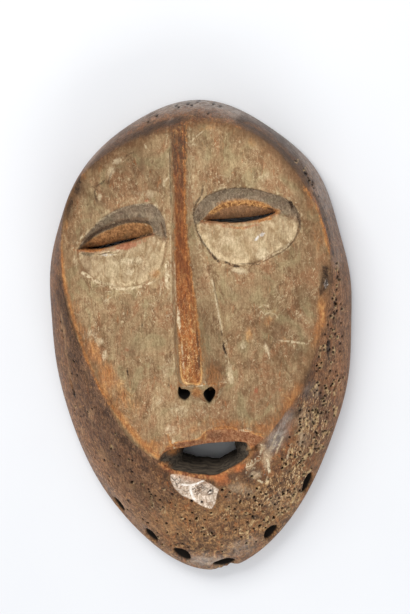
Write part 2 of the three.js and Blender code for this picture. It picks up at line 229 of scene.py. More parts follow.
def eye_relief(x, y, e, f):
    """depth cut into the face plane by one socket; also fills the masks in f"""
    d = inside(x, y, rounded(e["edge"], 5))
    ys, yl = curve_y(x, e["slit"]), curve_y(x, e["lens"])
    x0, x1 = e["slit"][0][0], e["slit"][-1][0]
    mid, half = (x0 + x1) / 2, (x1 - x0) / 2
    env = np.clip(1 - ((x - mid) / half) ** 2, 0, 1)
    v = y - ys
    vl = np.maximum(yl - ys, 0.02)
    dp = np.maximum(d, 0)
    # band under the brow: a cove from the socket's edge down to the lens
    w = np.clip((v - vl) / (v - vl + dp + 1e-6), 0, 1)
    band = smin(4.6 * (1 - w ** 2.2), 1.5 * dp + 0.1, 0.6)
    u = np.clip(v / vl, 0, 1)
    bevel = band + (e["deep"] - 4.6) * env ** 0.6 * (1 - u) ** 1.15
    above = np.where(v < vl, bevel, band)
    # lower lid: down to the slit's lip, swelling out to the socket's edge
    w = np.clip(-v / (-v + dp + 1e-6), 0, 1)
    lid = 4.3 * env ** 0.7 * (1 - w) ** 1.7 + 0.55 - 0.75 * np.sin(np.pi * np.clip(w, 0, 1)) * ease(0, 6, dp)
    out_x = np.maximum(x - x1, 0) + np.maximum(x0 - x, 0)
    bw = 0.35 + 1.3 * out_x
    t = ease(-bw, bw * 0.4, v)
    depth = lid * (1 - t) + above * t
    depth = depth * ease(-0.25, 0.55, d) + 0.75 * np.exp(-((d - 0.1) / 0.75) ** 2) * (1 - 0.5 * t)
    f["socket"] = np.maximum(f["socket"], d)
    inside_x = (x > x0 - 0.3) & (x < x1 + 0.3)
    lens = np.where(inside_x, np.minimum(v, vl - v), -np.maximum(out_x, 1.0))
    f["lens"] = np.maximum(f["lens"], lens)
    f["brow"] = np.maximum(f["brow"], np.where(d > -1, t * ease(-0.3, 0.6, d), 0))
    slit_d = np.where(out_x > 0, np.hypot(out_x, v), np.abs(v))
    f["slit"] = np.minimum(f["slit"], slit_d)
    f["lidlip"] = np.minimum(f["lidlip"], np.where(v < 0.3, slit_d, 9 + 0 * v))
    return depth


NOSE_FOOT_X = [-14, -10, -8, -6, -4, 1, 6, 8.5, 11, 13, 16, 20]
NOSE_FOOT_Y = [-8, -13, -17.0, -20.6, -21.8, -22.2, -23.2, -22.6, -20, -17.4, -14.2, -9]


def front(x, y, h, fine):
    """height of the front surface and the fields that the finish is laid out by"""
    r = np.hypot(x - CENTRE[0], y - CENTRE[1])
    a = np.arctan2(y - CENTRE[1], x - CENTRE[0])
    R, B = outline(a), harmonics(a, FACE)
    t = (r - B) / (R - B)
    n = Noise(x, y, 11)
    zp = plane(x, y)
    zb = plane(CENTRE[0] + B * np.cos(a), CENTRE[1] + B * np.sin(a))
    q = 0.3 + 0.32 * ease(-0.75, 0.1, np.sin(a))
    tc = np.clip(t, 0, 1)
    wall = WIDEST_Z + (zb - WIDEST_Z) * (q * np.sqrt(1 - tc * tc) + (1 - q) * (1 - tc))
    wall = wall - 6 * np.maximum(r - R, 0)
    # distance to the face edge, positive on the face
    slope = np.abs(np.gradient(B - r, h, axis=0)) ** 2 + np.abs(np.gradient(B - r, h, axis=1)) ** 2
    face_d = (B - r) / np.sqrt(np.maximum(slope, 0.5))
    z = np.where(t < 0, zp, wall)
    f = dict(face=face_d, rimdist=R - r, t=t)
    f["socket"] = np.full(x.shape, -99.0)
    f["lens"] = np.full(x.shape, -99.0)
    f["brow"] = np.zeros(x.shape)
    f["slit"] = np.full(x.shape, 99.0)
    f["lidlip"] = np.full(x.shape, 99.0)

    # hewn unevenness: broad on the face, facets of the knife on the side wall
    hew = n.at(17, 1.8, 0.1, 2)
    facet = n.at(9, 1.4, 0.5, 2)
    z = z + 0.28 * hew * ease(-4, 6, face_d) + 0.35 * facet * ease(2, -6, face_d) * ease(0.5, 8, R - r)
    # a shallow trough beside the nose, and cheeks that fall a little to the mouth
    z = z - 1.3 * np.exp(-((x - 12) / 6) ** 2) * ease(-26, -5, y) * ease(52, 30, y)
    z = z - 1.0 * np.exp(-((x + 12) / 6) ** 2) * ease(-26, -5, y) * ease(52, 30, y)

    # nose
    rise, nl, nr = through(y, NOSE_Y, NOSE_RISE), through(y, NOSE_Y, NOSE_LEFT), through(y, NOSE_Y, NOSE_RIGHT)
    fl, fr = through(y, NOSE_Y, FLANK_LEFT), through(y, NOSE_Y, FLANK_RIGHT)
    sl = (x - nl + fl) / fl
    sr = (nr + fr - x) / fr
    s = smin(sl, sr, 0.1)
    ridge = rise * smin(np.clip(s, -1, 2), 1 + 0 * s, 0.10)
    ridge = ridge + 0.25 * np.exp(-((x - (nl + nr) / 2) / 3) ** 2) * ease(0, 1.0, s)
    foot = through(x, NOSE_FOOT_X, NOSE_FOOT_Y)
    under = 1.12 * (y - foot) + 0.5 * np.sin(np.clip((y - foot) / 10, 0, 1) * np.pi)
    nose = smin(ridge, under, 0.9)
    nose = smax(nose, 0 * nose, 0.55)
    top = ease(117, 108, y)
    z = z + nose * top
    f["nose"] = smin(np.minimum(x - nl, nr - x), np.minimum(y - (foot + 9.6), 113 - y), 3.4)
    f["flank"] = np.minimum(np.minimum(x - nl + fl, nr + fr - x), y - foot)
    # pale crease down the right flank's foot
    crease, _ = stroke(x, y, [(11.0, 40), (12.6, 31), (14.0, 22), (15.0, 10), (15.9, 1.7), (17, -4), (16.9, -14)])
    f["crease"] = crease
    z = z - 0.35 * np.exp(-(crease / 0.7) ** 2)

    # eyes
    for e in EYES:
        z = z - eye_relief(x, y, e, f)
    z = z + 1.2 * np.exp(-((x - 45.0) ** 2 + (y - 66.4) ** 2) / 1.7 ** 2)     # knob at a slit's end

    # lips: the band over the mouth is cut back, the lower lip has a worn bevel
    mt, ml, le = curve_y(x, MOUTH_TOP), curve_y(x, MOUTH_LOW), curve_y(x, LIP_EDGE)
    x0, x1 = MOUTH_TOP[0][0], MOUTH_TOP[-1][0]
    inx = (x > x0) & (x < x1)
    u = np.clip((y - mt) / np.maximum(le - mt, 0.3), -0.3, 1.2)
    env = ease(-20.5, -8, x) * ease(34, 26, x)
    mid = curve_y(np.clip(x, x0, x1), [(x0, -52), (3, -52), (x1, -48.6)])
    f["lip"] = np.where((x > x0 - 2) & (x < 34) & (y > mid), np.minimum(le - y, y - mt + 0.8), -9)
    z = z - 3.2 * env * ease(1.02, 0.0, u) * (y > mid) * ease(-8, 0.5, np.minimum(x - x0, 34.5 - x))
    mouth = np.where(inx, np.minimum(mt - y, y - ml), -np.hypot(np.maximum(x0 - x, 0) + np.maximum(x - x1, 0), np.maximum(np.abs(y - mid) - 0.5, 0)))
    f["mouth"] = mouth
    below = np.where(y < mid, -mouth, 99)
    f["lowlip"] = below
    z = z - 1.3 * ease(2.6, 0, below) * ease(-21, -17, x) * ease(29, 24, x)

    # the flaked place under the lower lip, cut in knife facets
    fd = inside(x, y, np.array(FLAKE))
    f["flake"] = fd
    g1 = 0.20 * (x + 9) + 0.10 * (y + 66)
    g2 = -0.18 * (x - 0) + 0.12 * (y + 71)
    g3 = 0.06 * (x + 10) - 0.26 * (y + 64.5)
    g4 = 0.10 * (x - 4) + 0.30 * (y + 74)
    cut = 0.95 + 1.1 * np.clip(np.minimum(np.minimum(g1, g2 + 0.5), np.minimum(g3 + 0.3, g4 + 0.5)), -0.75, 0.6)
    cut = cut + 0.14 * n.at(1.6, 2.2, -0.9, 2)
    z = z - cut * ease(-0.1, 0.6, fd)

    # smooth worn band outside the face edge on the right jaw, up from the mouth's corner
    jaw, _ = stroke(x, y, [(29, -62), (33, -50), (40, -40), (49, -30), (55, -17)])
    f["jaw"] = jaw
    z = z - 0.9 * np.exp(-(jaw / 5.0) ** 2)

    # worm-eaten skin: rough where the holes crowd
    eaten = np.clip(np.exp(-(((x - 52) / 17) ** 2 + ((y + 40) / 34) ** 2))
                    + 0.95 * np.exp(-(((x - 22) / 26) ** 2 + ((y + 86) / 20) ** 2))
                    + 0.30 * np.exp(-(((x + 38) / 22) ** 2 + ((y + 70) / 30) ** 2)), 0, 1)
    eaten = eaten * ease(0.5, -3.0, face_d) * ease(3, 9, R - r) * ease(0.5, -1.0, fd) * ease(3, 7, jaw)
    f["eaten"] = eaten
    grain = n.at(1.9, 2.6, -0.25, 3)
    z = z + eaten * (0.30 * grain - 0.12)
    z = z + 0.05 * n.at(1.6, 3.0, 0.0, 2) * ease(-1, 3, face_d)

    # creases and cracks
    for pts, w, dep in CREASES:
        d, s = stroke(x, y, pts)
        z = z - dep * np.exp(-(d / w) ** 2) * np.minimum(1, 6 * np.minimum(s + 0.05, 1.05 - s))
    return z, f


CREASES = [
    ([(-42, 83), (-32, 84.5), (-20, 86.5), (-8, 87.5)], 0.6, 0.25),
    ([(13.6, 24), (14.1, 20), (15.0, 15.5), (14.4, 11.5)], 0.35, 0.9),
    ([(15.2, 20.5), (16.1, 17.5), (15.9, 13.5), (15.0, 11.8)], 0.35, 0.8),
    ([(-64.5, -13), (-64.0, -17), (-63.0, -20.5)], 0.5, 1.0),
    ([(-33.2, 0.5), (-32.6, -2), (-32.0, -4.2)], 0.4, 0.9),
]


def hollow(x, y, h):
    """height of the hollow's ceiling over the floor; falls steeply past the hollow's foot"""
    r = np.hypot(x - CENTRE[0], y - CENTRE[1])
    a = np.arctan2(y - CENTRE[1], x - CENTRE[0])
    R, B = outline(a), harmonics(a, FACE)
    chin = ease(0.45, 0.97, -np.sin(a))
    foot = R - RIM_WALL - (CHIN_WALL - RIM_WALL) * chin
    t = r / foot
    tc = np.clip(t, 0, 1)
    ceil = plane(CENTRE[0] + tc * (B - 8) * np.cos(a), CENTRE[1] + tc * (B - 8) * np.sin(a)) - FACE_WALL
    p = 3.2 - 1.5 * chin
    g = ceil * np.maximum(1 - tc ** p, 0) ** (1 / p)
    n = Noise(x, y, 5)
    gouge = n.at(8, 1.9, 0.35, 1)
    g = g + 0.9 * (np.abs(gouge) - 0.5) * ease(1.0, 0.9, t) + 0.3 * n.at(3, 2.2, 0.2, 2) * ease(1.0, 0.95, t)
    g = np.where(t > 1, -6 * (r - foot), g)
    return g, r - foot


def steep(f, h):
    gx, gy = np.gradient(f, h)
    return 1 / np.sqrt(1 + np.minimum(gx * gx + gy * gy, 400))


def solid_field(h, fine=True):
    xs = np.arange(-79, 80 + h, h)
    ys = np.arange(-123, 124 + h, h)
    zs = np.arange(-2.0, 62 + h, h)
    X, Y = np.meshgrid(xs, ys, indexing="ij")
    Z, f = front(X, Y, h, fine)
    G, hollow_d = hollow(X, Y, h)
    X3, Y3 = X[:, :, None], Y[:, :, None]
    z3 = zs[None, None, :].astype(np.float32)
    kf, kg = steep(Z, h).astype(np.float32), steep(G, h).astype(np.float32)
    V = (z3 - Z.astype(np.float32)[:, :, None]) * kf[:, :, None]
    # side wall below the widest line, a little undercut
    under = UNDERCUT * np.clip(1 - z3 / WIDEST_Z, 0, 1) ** 2
    side = -f["rimdist"].astype(np.float32)[:, :, None] + under
    V = smax(V, side, 0.5)
    cut = (G.astype(np.float32)[:, :, None] - z3) * kg[:, :, None]
    cut = np.minimum(cut, -hollow_d.astype(np.float32)[:, :, None])
    V = smax(V, cut, 1.2)
    V = smax(V, np.broadcast_to(-z3, V.shape), 0.9)
    del cut, side

    def block(lo, hi):
        i = [max(0, int(np.floor((lo[k] - s[0]) / h))) for k, s in enumerate((xs, ys, zs))]
        j = [min(len(s), int(np.ceil((hi[k] - s[0]) / h)) + 1) for k, s in enumerate((xs, ys, zs))]
        sl = tuple(slice(a, b) for a, b in zip(i, j))
        return sl, xs[sl[0]][:, None, None], ys[sl[1]][None, :, None], zs[sl[2]][None, None, :]

    # mouth: straight at the top, the chin side leaning in
    sl, bx, by, bz = block((-24, -66, -2), (31, -36, 62))
    x0, x1 = MOUTH_TOP[0][0], MOUTH_TOP[-1][0]
    mt, ml = curve_y(bx, MOUTH_TOP), curve_y(bx, MOUTH_LOW)
    lean = 4.9 * np.clip((46 - bz) / 20, 0, 1)
    ml = ml + np.minimum(lean, (mt - ml) / 2.1)
    deep = np.clip((45 - bz) / 12, 0, 1) ** 0.8
    ragged = 0.6 * np.sin(by * 0.7 + 0.2 * bz)
    ends = np.minimum(bx - x0 - (9.4 + ragged) * deep, x1 - (10.0 - ragged) * deep - bx)
    ml = ml + deep * (0.35 * np.sin(bx * 0.55 + 1) + 0.15 * np.sin(bx * 1.5))
    hole = smin(smin(mt - by, by - ml, 0.8), ends, 1.6)
    V[sl] = smax(V[sl], hole + 0 * bz, 0.7)
    # eye slits
    for e in EYES:
        p = np.array(e["slit"])
        sl, bx, by, bz = block((p[:, 0].min() - 2, p[:, 1].min() - 5, 5), (p[:, 0].max() + 2, p[:, 1].max() + 6, 62))
        x0, x1 = e["open"]
        bow = np.clip(1 - ((2 * bx - x0 - x1) / (x1 - x0)) ** 2, 0, 1)
        half = e["gap"] / 2 * bow ** 0.6
        # the gap opens out behind
        open_ = 1 + 1.5 * np.clip((34 - bz) / 12, 0, 1)
        V[sl] = smax(V[sl], half * open_ - np.abs(by - curve_y(bx, e["slit"])) - 0.02, 0.25)
    # nostrils, slanting up into the nose
    for pts in (NOSTRIL_L, NOSTRIL_R):
        p = np.array(pts)
        sl, bx, by, bz = block((p[:, 0].min() - 3, p[:, 1].min() - 8, 30), (p[:, 0].max() + 3, p[:, 1].max() + 16, 62))
        gx, gy, gz = np.broadcast_arrays(bx, by, bz)
        tilt = math.tan(math.radians(28))
        d = inside(gx, gy - (47 - gz) * tilt, rounded(pts, 4)) * 0.9
        d = np.minimum(d, (gz - 35.5) * 0.9)
        top = np.where(gx < 1, -11.3 - 0.1 * (gx + 8), -11.6) + np.where(gx < 1, 1.0, 2.2) * np.maximum(45.6 - gz, 0)
        d = np.minimum(d, top - gy)
        V[sl] = smax(V[sl], d, 0.5)
    # cord holes, square to the outline and slanting down into the hollow
    for (cx, cy, cz, half, wide) in CORD_HOLES:
        ang = math.atan2(cy - CENTRE[1], cx - CENTRE[0])
        a2 = np.array([ang - 0.01, ang + 0.01])
        R2 = outline(a2)
        px, py = CENTRE[0] + R2 * np.cos(a2), CENTRE[1] + R2 * np.sin(a2)
        nx, ny = py[1] - py[0], -(px[1] - px[0])
        L = math.hypot(nx, ny)
        nx, ny = nx / L, ny / L
        tx, ty = -ny, nx                                   # along the rim
        ct, st = math.cos(math.radians(HOLE_TILT)), math.sin(math.radians(HOLE_TILT))
        sl, bx, by, bz = block((cx - 32, cy - 32, -2), (cx + 32, cy + 32, 30))
        dx, dy, dz = bx - cx, by - cy, bz - cz
        run = (dx * nx + dy * ny) * ct + dz * st           # outwards along the bore
        side2 = (dx * nx + dy * ny) * -st + dz * ct
        along = dx * tx + dy * ty
        turn = math.radians(36 if cx < -10 else -24 if cx > 10 else 0) * np.clip((run + 6) / 6, 0, 1)
        along, side2 = along * np.cos(turn) - side2 * np.sin(turn), along * np.sin(turn) + side2 * np.cos(turn)
        grow = 1 + 0.18 * np.clip((run + 2.5) / 6, 0, 1.3) ** 2
        wob = 1 + 0.05 * np.sin(3 * np.arctan2(side2, along) + cx)
        d = (1 - np.sqrt((along / half) ** 2 + (side2 / wide) ** 2) / (grow * wob)) * wide
        d = np.minimum(d, run + 26)
        V[sl] = smax(V[sl], d, 0.8)
    # the hole that is broken out at the chin
    sl, bx, by, bz = block((-14, -124, -2), (26, -92, 24))
    edge = curve_y(bx, CHIN_BREAK) + 0.25 * np.sin(bx * 2.1) + 0.08 * (bz - 4)
    d = np.minimum(np.minimum(edge - by, 11.5 + 0.5 * np.sin(bx) - bz), np.minimum(bx + 5.0, 13.2 - bx))
    V[sl] = smax(V[sl], d + 0 * V[sl], 0.6)

    # worm holes and the open tracks between them
    worm = {"n": 0}

    def capsule(a, b, r0, r1):
        lo = np.minimum(a, b) - max(r0, r1) - 1
        hi = np.maximum(a, b) + max(r0, r1) + 1
        sl, bx, by, bz = block(lo, hi)
        if 0 in V[sl].shape:
            return
        ex, ey, ez = b[0] - a[0], b[1] - a[1], b[2] - a[2]
        L2 = ex * ex + ey * ey + ez * ez + 1e-9
        t = np.clip(((bx - a[0]) * ex + (by - a[1]) * ey + (bz - a[2]) * ez) / L2, 0, 1)
        d = np.sqrt((bx - a[0] - t * ex) ** 2 + (by - a[1] - t * ey) ** 2 + (bz - a[2] - t * ez) ** 2)
        V[sl] = np.maximum(V[sl], (r0 + (r1 - r0) * t) - d)
        worm["n"] += 1

    gx, gy = np.gradient(Z, h)

    def surf(x, y):
        i = int(round((x - xs[0]) / h))
        j = int(round((y - ys[0]) / h))
        i, j = min(max(i, 1), len(xs) - 2), min(max(j, 1), len(ys) - 2)
        nrm = np.array([-gx[i, j], -gy[i, j], 1.0])
        return np.array([x, y, float(Z[i, j])]), nrm / np.linalg.norm(nrm), (i, j)

    marks = worms(surf, f, capsule)
    f["marks"] = marks
    return V, (xs, ys, zs), Z, G, hollow_d, f


NOSTRIL_L = [(-8.4, -19.2), (-8.0, -17.0), (-7.0, -14.6), (-5.4, -12.0), (-3.2, -11.4), (-1.8, -13.5), (-1.9, -17.0), (-3.4, -21.0), (-4.9, -23.0), (-6.9, -22.4), (-8.0, -21.2)]
NOSTRIL_R = [(4.9, -14.6), (6.5, -11.4), (8.9, -11.8), (10.2, -15.4), (9.7, -19.4), (8.2, -22.6), (6.6, -24.6), (5.2, -23.0), (4.5, -18.0)]


CHIN_BREAK = [(-6, -121.5), (-1.5, -118.8), (3, -117.4), (6.0, -116.4), (8.0, -115.4), (9.6, -116.3), (12.5, -116.6), (15.5, -119.5)]


def worms(surf, f, capsule):
    rng = np.random.default_rng(77)
    marks = []                                             # (x, y, radius, kind) for the finish
    def hole(x, y, r, deep=3.5, lean=0.5, kind=0):
        p, nrm, _ = surf(x, y)
        d = -nrm + lean * rng.normal(size=3) * 0.5
        d /= np.linalg.norm(d)
        capsule(p - d * 0.8, p + d * deep, r * 1.05, r * 0.85)
        marks.append((x, y, r, kind))
    def track(x, y, ang, length, r):
        pts, a = [], ang
        n = max(2, int(length / 1.1))
        for _ in range(n):
            p, nrm, _ = surf(x, y)
            pts.append(p - nrm * (r * 0.25))
            a += rng.normal() * 0.16
            x, y = x + 1.1 * math.cos(a), y + 1.1 * math.sin(a)
        for p, q in zip(pts, pts[1:]):
            capsule(p, q, r, r)
            marks.append((p[0], p[1], r, 1))
    # crowded zones, then thinly over the side walls
    xs = np.linspace(-70, 72, 2)
    for zone in WORM_ZONES:
        cx, cy, sx, sy, count, tracks, ang = zone
        k = tries = 0
        while k < count and tries < 40 * count:
            tries += 1
            x, y = cx + rng.normal() * sx, cy + rng.normal() * sy
            p, nrm, (i, j) = surf(x, y)
            if f["face"][i, j] > -2.2 or f["rimdist"][i, j] < 2.5 or f["flake"][i, j] > -1.0 or f["jaw"][i, j] < 4.0 or f["mouth"][i, j] > -4:
                continue
            k += 1
            hole(x, y, rng.uniform(0.42, 0.68), kind=0 if rng.random() < 0.35 else 2)
            if rng.random() < tracks:
                track(x, y, ang + rng.normal() * 0.22 + (math.pi if rng.random() < 0.5 else 0), rng.uniform(2, 8), rng.uniform(0.4, 0.6))
    for (x, y, r, kind) in WORM_SPOTS:
        hole(x, y, r, lean=0.15, kind=kind)
    return marks


# centre, spread, how many, how many leave an open track, and the way the tracks run
WORM_ZONES = [
    (57, -40, 8, 16, 30, 0.8, 1.35),
    (61, -8, 5, 22, 34, 0.15, 1.5),
    (46, -64, 9, 12, 24, 0.7, 0.85),
    (30, -84, 14, 9, 34, 0.6, 0.75),
    (4, -94, 16, 9, 22, 0.1, 1.4),
    (-34, -72, 13, 20, 22, 0.10, 1.2),
    (-62, 0, 5, 40, 10, 0.1, 1.5),
    (68, 40, 3.5, 34, 46, 0.05, 1.5),
    (52, 88, 9, 9, 18, 0.0, 0.7),
]
WORM_SPOTS = [
    (-11.9, 114.2, 0.75, 2), (-15.8, 111.7, 0.6, 2), (-2.9, 118.2, 0.7, 2), (-1.3, 117.3, 0.6, 2),
    (2.9, 118.7, 0.7, 2), (5.0, 118.1, 0.6, 2), (7.2, 119.2, 0.6, 2), (15.0, 117.7, 0.6, 2),
    (18.5, 116.4, 0.6, 2), (13.9, 114.2, 0.55, 2), (26.6, 114.3, 0.5, 2), (31.7, 111.4, 0.5, 2),
    (-27.2, -71.4, 0.6, 0), (-6.6, -74.5, 0.7, 2), (-7.4, -81.4, 0.6, 2), (-13.2, -84.4, 0.55, 0),
    (-21.7, -88.5, 0.7, 2), (-16.8, -94.7, 0.6, 2), (-10.0, -93.6, 0.6, 0), (-22.1, -94.1, 0.5, 2),
    (-27.8, -95.0, 0.5, 2), (-27.9, -97.7, 0.5, 0), (-12.5, -103.0, 0.5, 2), (-21.5, -102.5, 0.5, 2),
    (12.5, -70.6, 0.6, 0), (10.4, -73.1, 0.5, 2), (13.8, -80.7, 0.6, 2), (21.5, -73.1, 0.6, 0),
    (21.7, -102.5, 0.5, 2), (21.3, -94.0, 0.5, 2), (37.7, -76.4, 0.65, 0), (39.7, -75.0, 0.6, 2),
    (35.3, -78.2, 0.6, 2), (31.5, -77.4, 0.5, 0), (32.9, -81.5, 0.6, 2), (34.9, -80.5, 0.5, 2),
    (43.0, -75.2, 0.6, 0), (45.2, -76.8, 0.6, 2), (41.7, -79.4, 0.5, 2), (34.2, -85.0, 0.6, 0),
    (31.8, -71.9, 0.5, 2), (29.4, -74.5, 0.6, 2), (55.2, -33.1, 0.7, 0), (53.3, -33.0, 0.6, 2),
    (49.4, -31.6, 0.6, 2), (49.0, -36.0, 0.6, 0), (48.8, -37.5, 0.6, 2), (48.9, -39.1, 0.6, 2),
    (49.2, -40.8, 0.6, 0), (61.0, -35.9, 0.6, 2), (58.5, -36.1, 0.5, 2), (55.2, -40.7, 0.6, 0),
    (55.5, -45.5, 0.6, 2), (50.2, -45.4, 0.5, 2), (43.5, -44.7, 0.6, 0), (46.9, -48.2, 0.5, 2),
    (54.5, -48.4, 0.6, 2), (55.2, -50.5, 0.6, 0), (55.1, -52.2, 0.6, 2), (54.8, -55.2, 0.5, 2),
    (56.2, -55.6, 0.5, 0), (48.7, -51.2, 0.5, 2), (47.5, -54.2, 0.6, 2), (45.1, -56.5, 0.6, 0),
    (38.9, -55.7, 0.5, 2), (48.7, -59.7, 0.5, 2), (64.4, -34.1, 0.5, 0), (3.4, -69.3, 0.5, 2),
    (-1.7, -75.3, 0.6, 2), (-36.2, -51.9, 0.6, 0), (-36.9, -65.5, 0.7, 2), (-27.8, -69.9, 0.6, 2),
    (-27.7, -72.9, 0.5, 0), (-50.1, -67.0, 0.5, 2), (-56.4, -55.0, 0.45, 2), (-56.5, -29.2, 0.6, 0),
    (-53.4, -27.0, 0.5, 2), (-63.2, -19.9, 0.5, 2), (-63.7, -21.2, 0.5, 0), (-42.9, -56.7, 0.5, 2),
    (-34.4, -87.4, 0.5, 2), (-23.7, -80.2, 0.5, 0), (-17.8, -75.7, 0.5, 2), (-1.5, -85.9, 0.55, 2),
    (1.7, -95.9, 0.5, 0), (8.8, -86.6, 0.5, 2), (16.7, -77.3, 0.5, 2), (18.9, -83.6, 0.5, 0),
    (26.9, -80.4, 0.5, 2), (12.9, -93.2, 0.5, 2), (4.9, -101.9, 0.5, 0),
]


def surface_nets(V, axes):
    """the zero surface of V as quads, one vertex in each crossed cell"""
    xs, ys, zs = axes
    h = xs[1] - xs[0]
    s = V < 0
    nx, ny, nz = V.shape
    c = np.zeros((nx - 1, ny - 1, nz - 1), np.uint8)
    for i in (0, 1):
        for j in (0, 1):
            for k in (0, 1):
                c += s[i:nx - 1 + i, j:ny - 1 + j, k:nz - 1 + k]
    active = (c > 0) & (c < 8)
    ids = np.full(active.shape, -1, np.int32)
    cell = np.argwhere(active)
    ids[active] = np.arange(len(cell), dtype=np.int32)
    corner = [(i, j, k) for i in (0, 1) for j in (0, 1) for k in (0, 1)]
    val = np.stack([V[cell[:, 0] + a, cell[:, 1] + b, cell[:, 2] + d] for a, b, d in corner], 1)
    pos = np.zeros((len(cell), 3))
    cnt = np.zeros(len(cell))
    for m, A in enumerate(corner):
        for n_, Bc in enumerate(corner):
            if n_ <= m or sum(abs(p - q) for p, q in zip(A, Bc)) != 1:
                continue
            va, vb = val[:, m], val[:, n_]
            hit = (va < 0) != (vb < 0)
            t = np.where(hit, va / np.where(hit, va - vb, 1), 0)[:, None]
            pt = np.array(A) * (1 - t) + np.array(Bc) * t
            pos += np.where(hit[:, None], pt, 0)
            cnt += hit
    pos = (cell + pos / cnt[:, None]) * h + np.array([xs[0], ys[0], zs[0]])
    quads = []
    for axis in range(3):
        a = [slice(1, n - 1) for n in V.shape]
        b = [slice(1, n - 1) for n in V.shape]
        a[axis], b[axis] = slice(0, V.shape[axis] - 1), slice(1, V.shape[axis])
        sa, sb = s[tuple(a)], s[tuple(b)]
        e = np.argwhere(sa != sb)
        flip = sa[e[:, 0], e[:, 1], e[:, 2]]
        e = e + 1
        e[:, axis] -= 1
        u, v = [(1, 2), (2, 0), (0, 1)][axis]
        q = []
        for du, dv in ((0, 0), (-1, 0), (-1, -1), (0, -1)):
            g = e.copy()
            g[:, u] += du
            g[:, v] += dv
            q.append(ids[g[:, 0], g[:, 1], g[:, 2]])
        q = np.stack(q, 1)
        q[~flip] = q[~flip][:, ::-1]
        quads.append(q)
    quads = np.concatenate(quads)
    return pos, quads[(quads >= 0).all(1)]


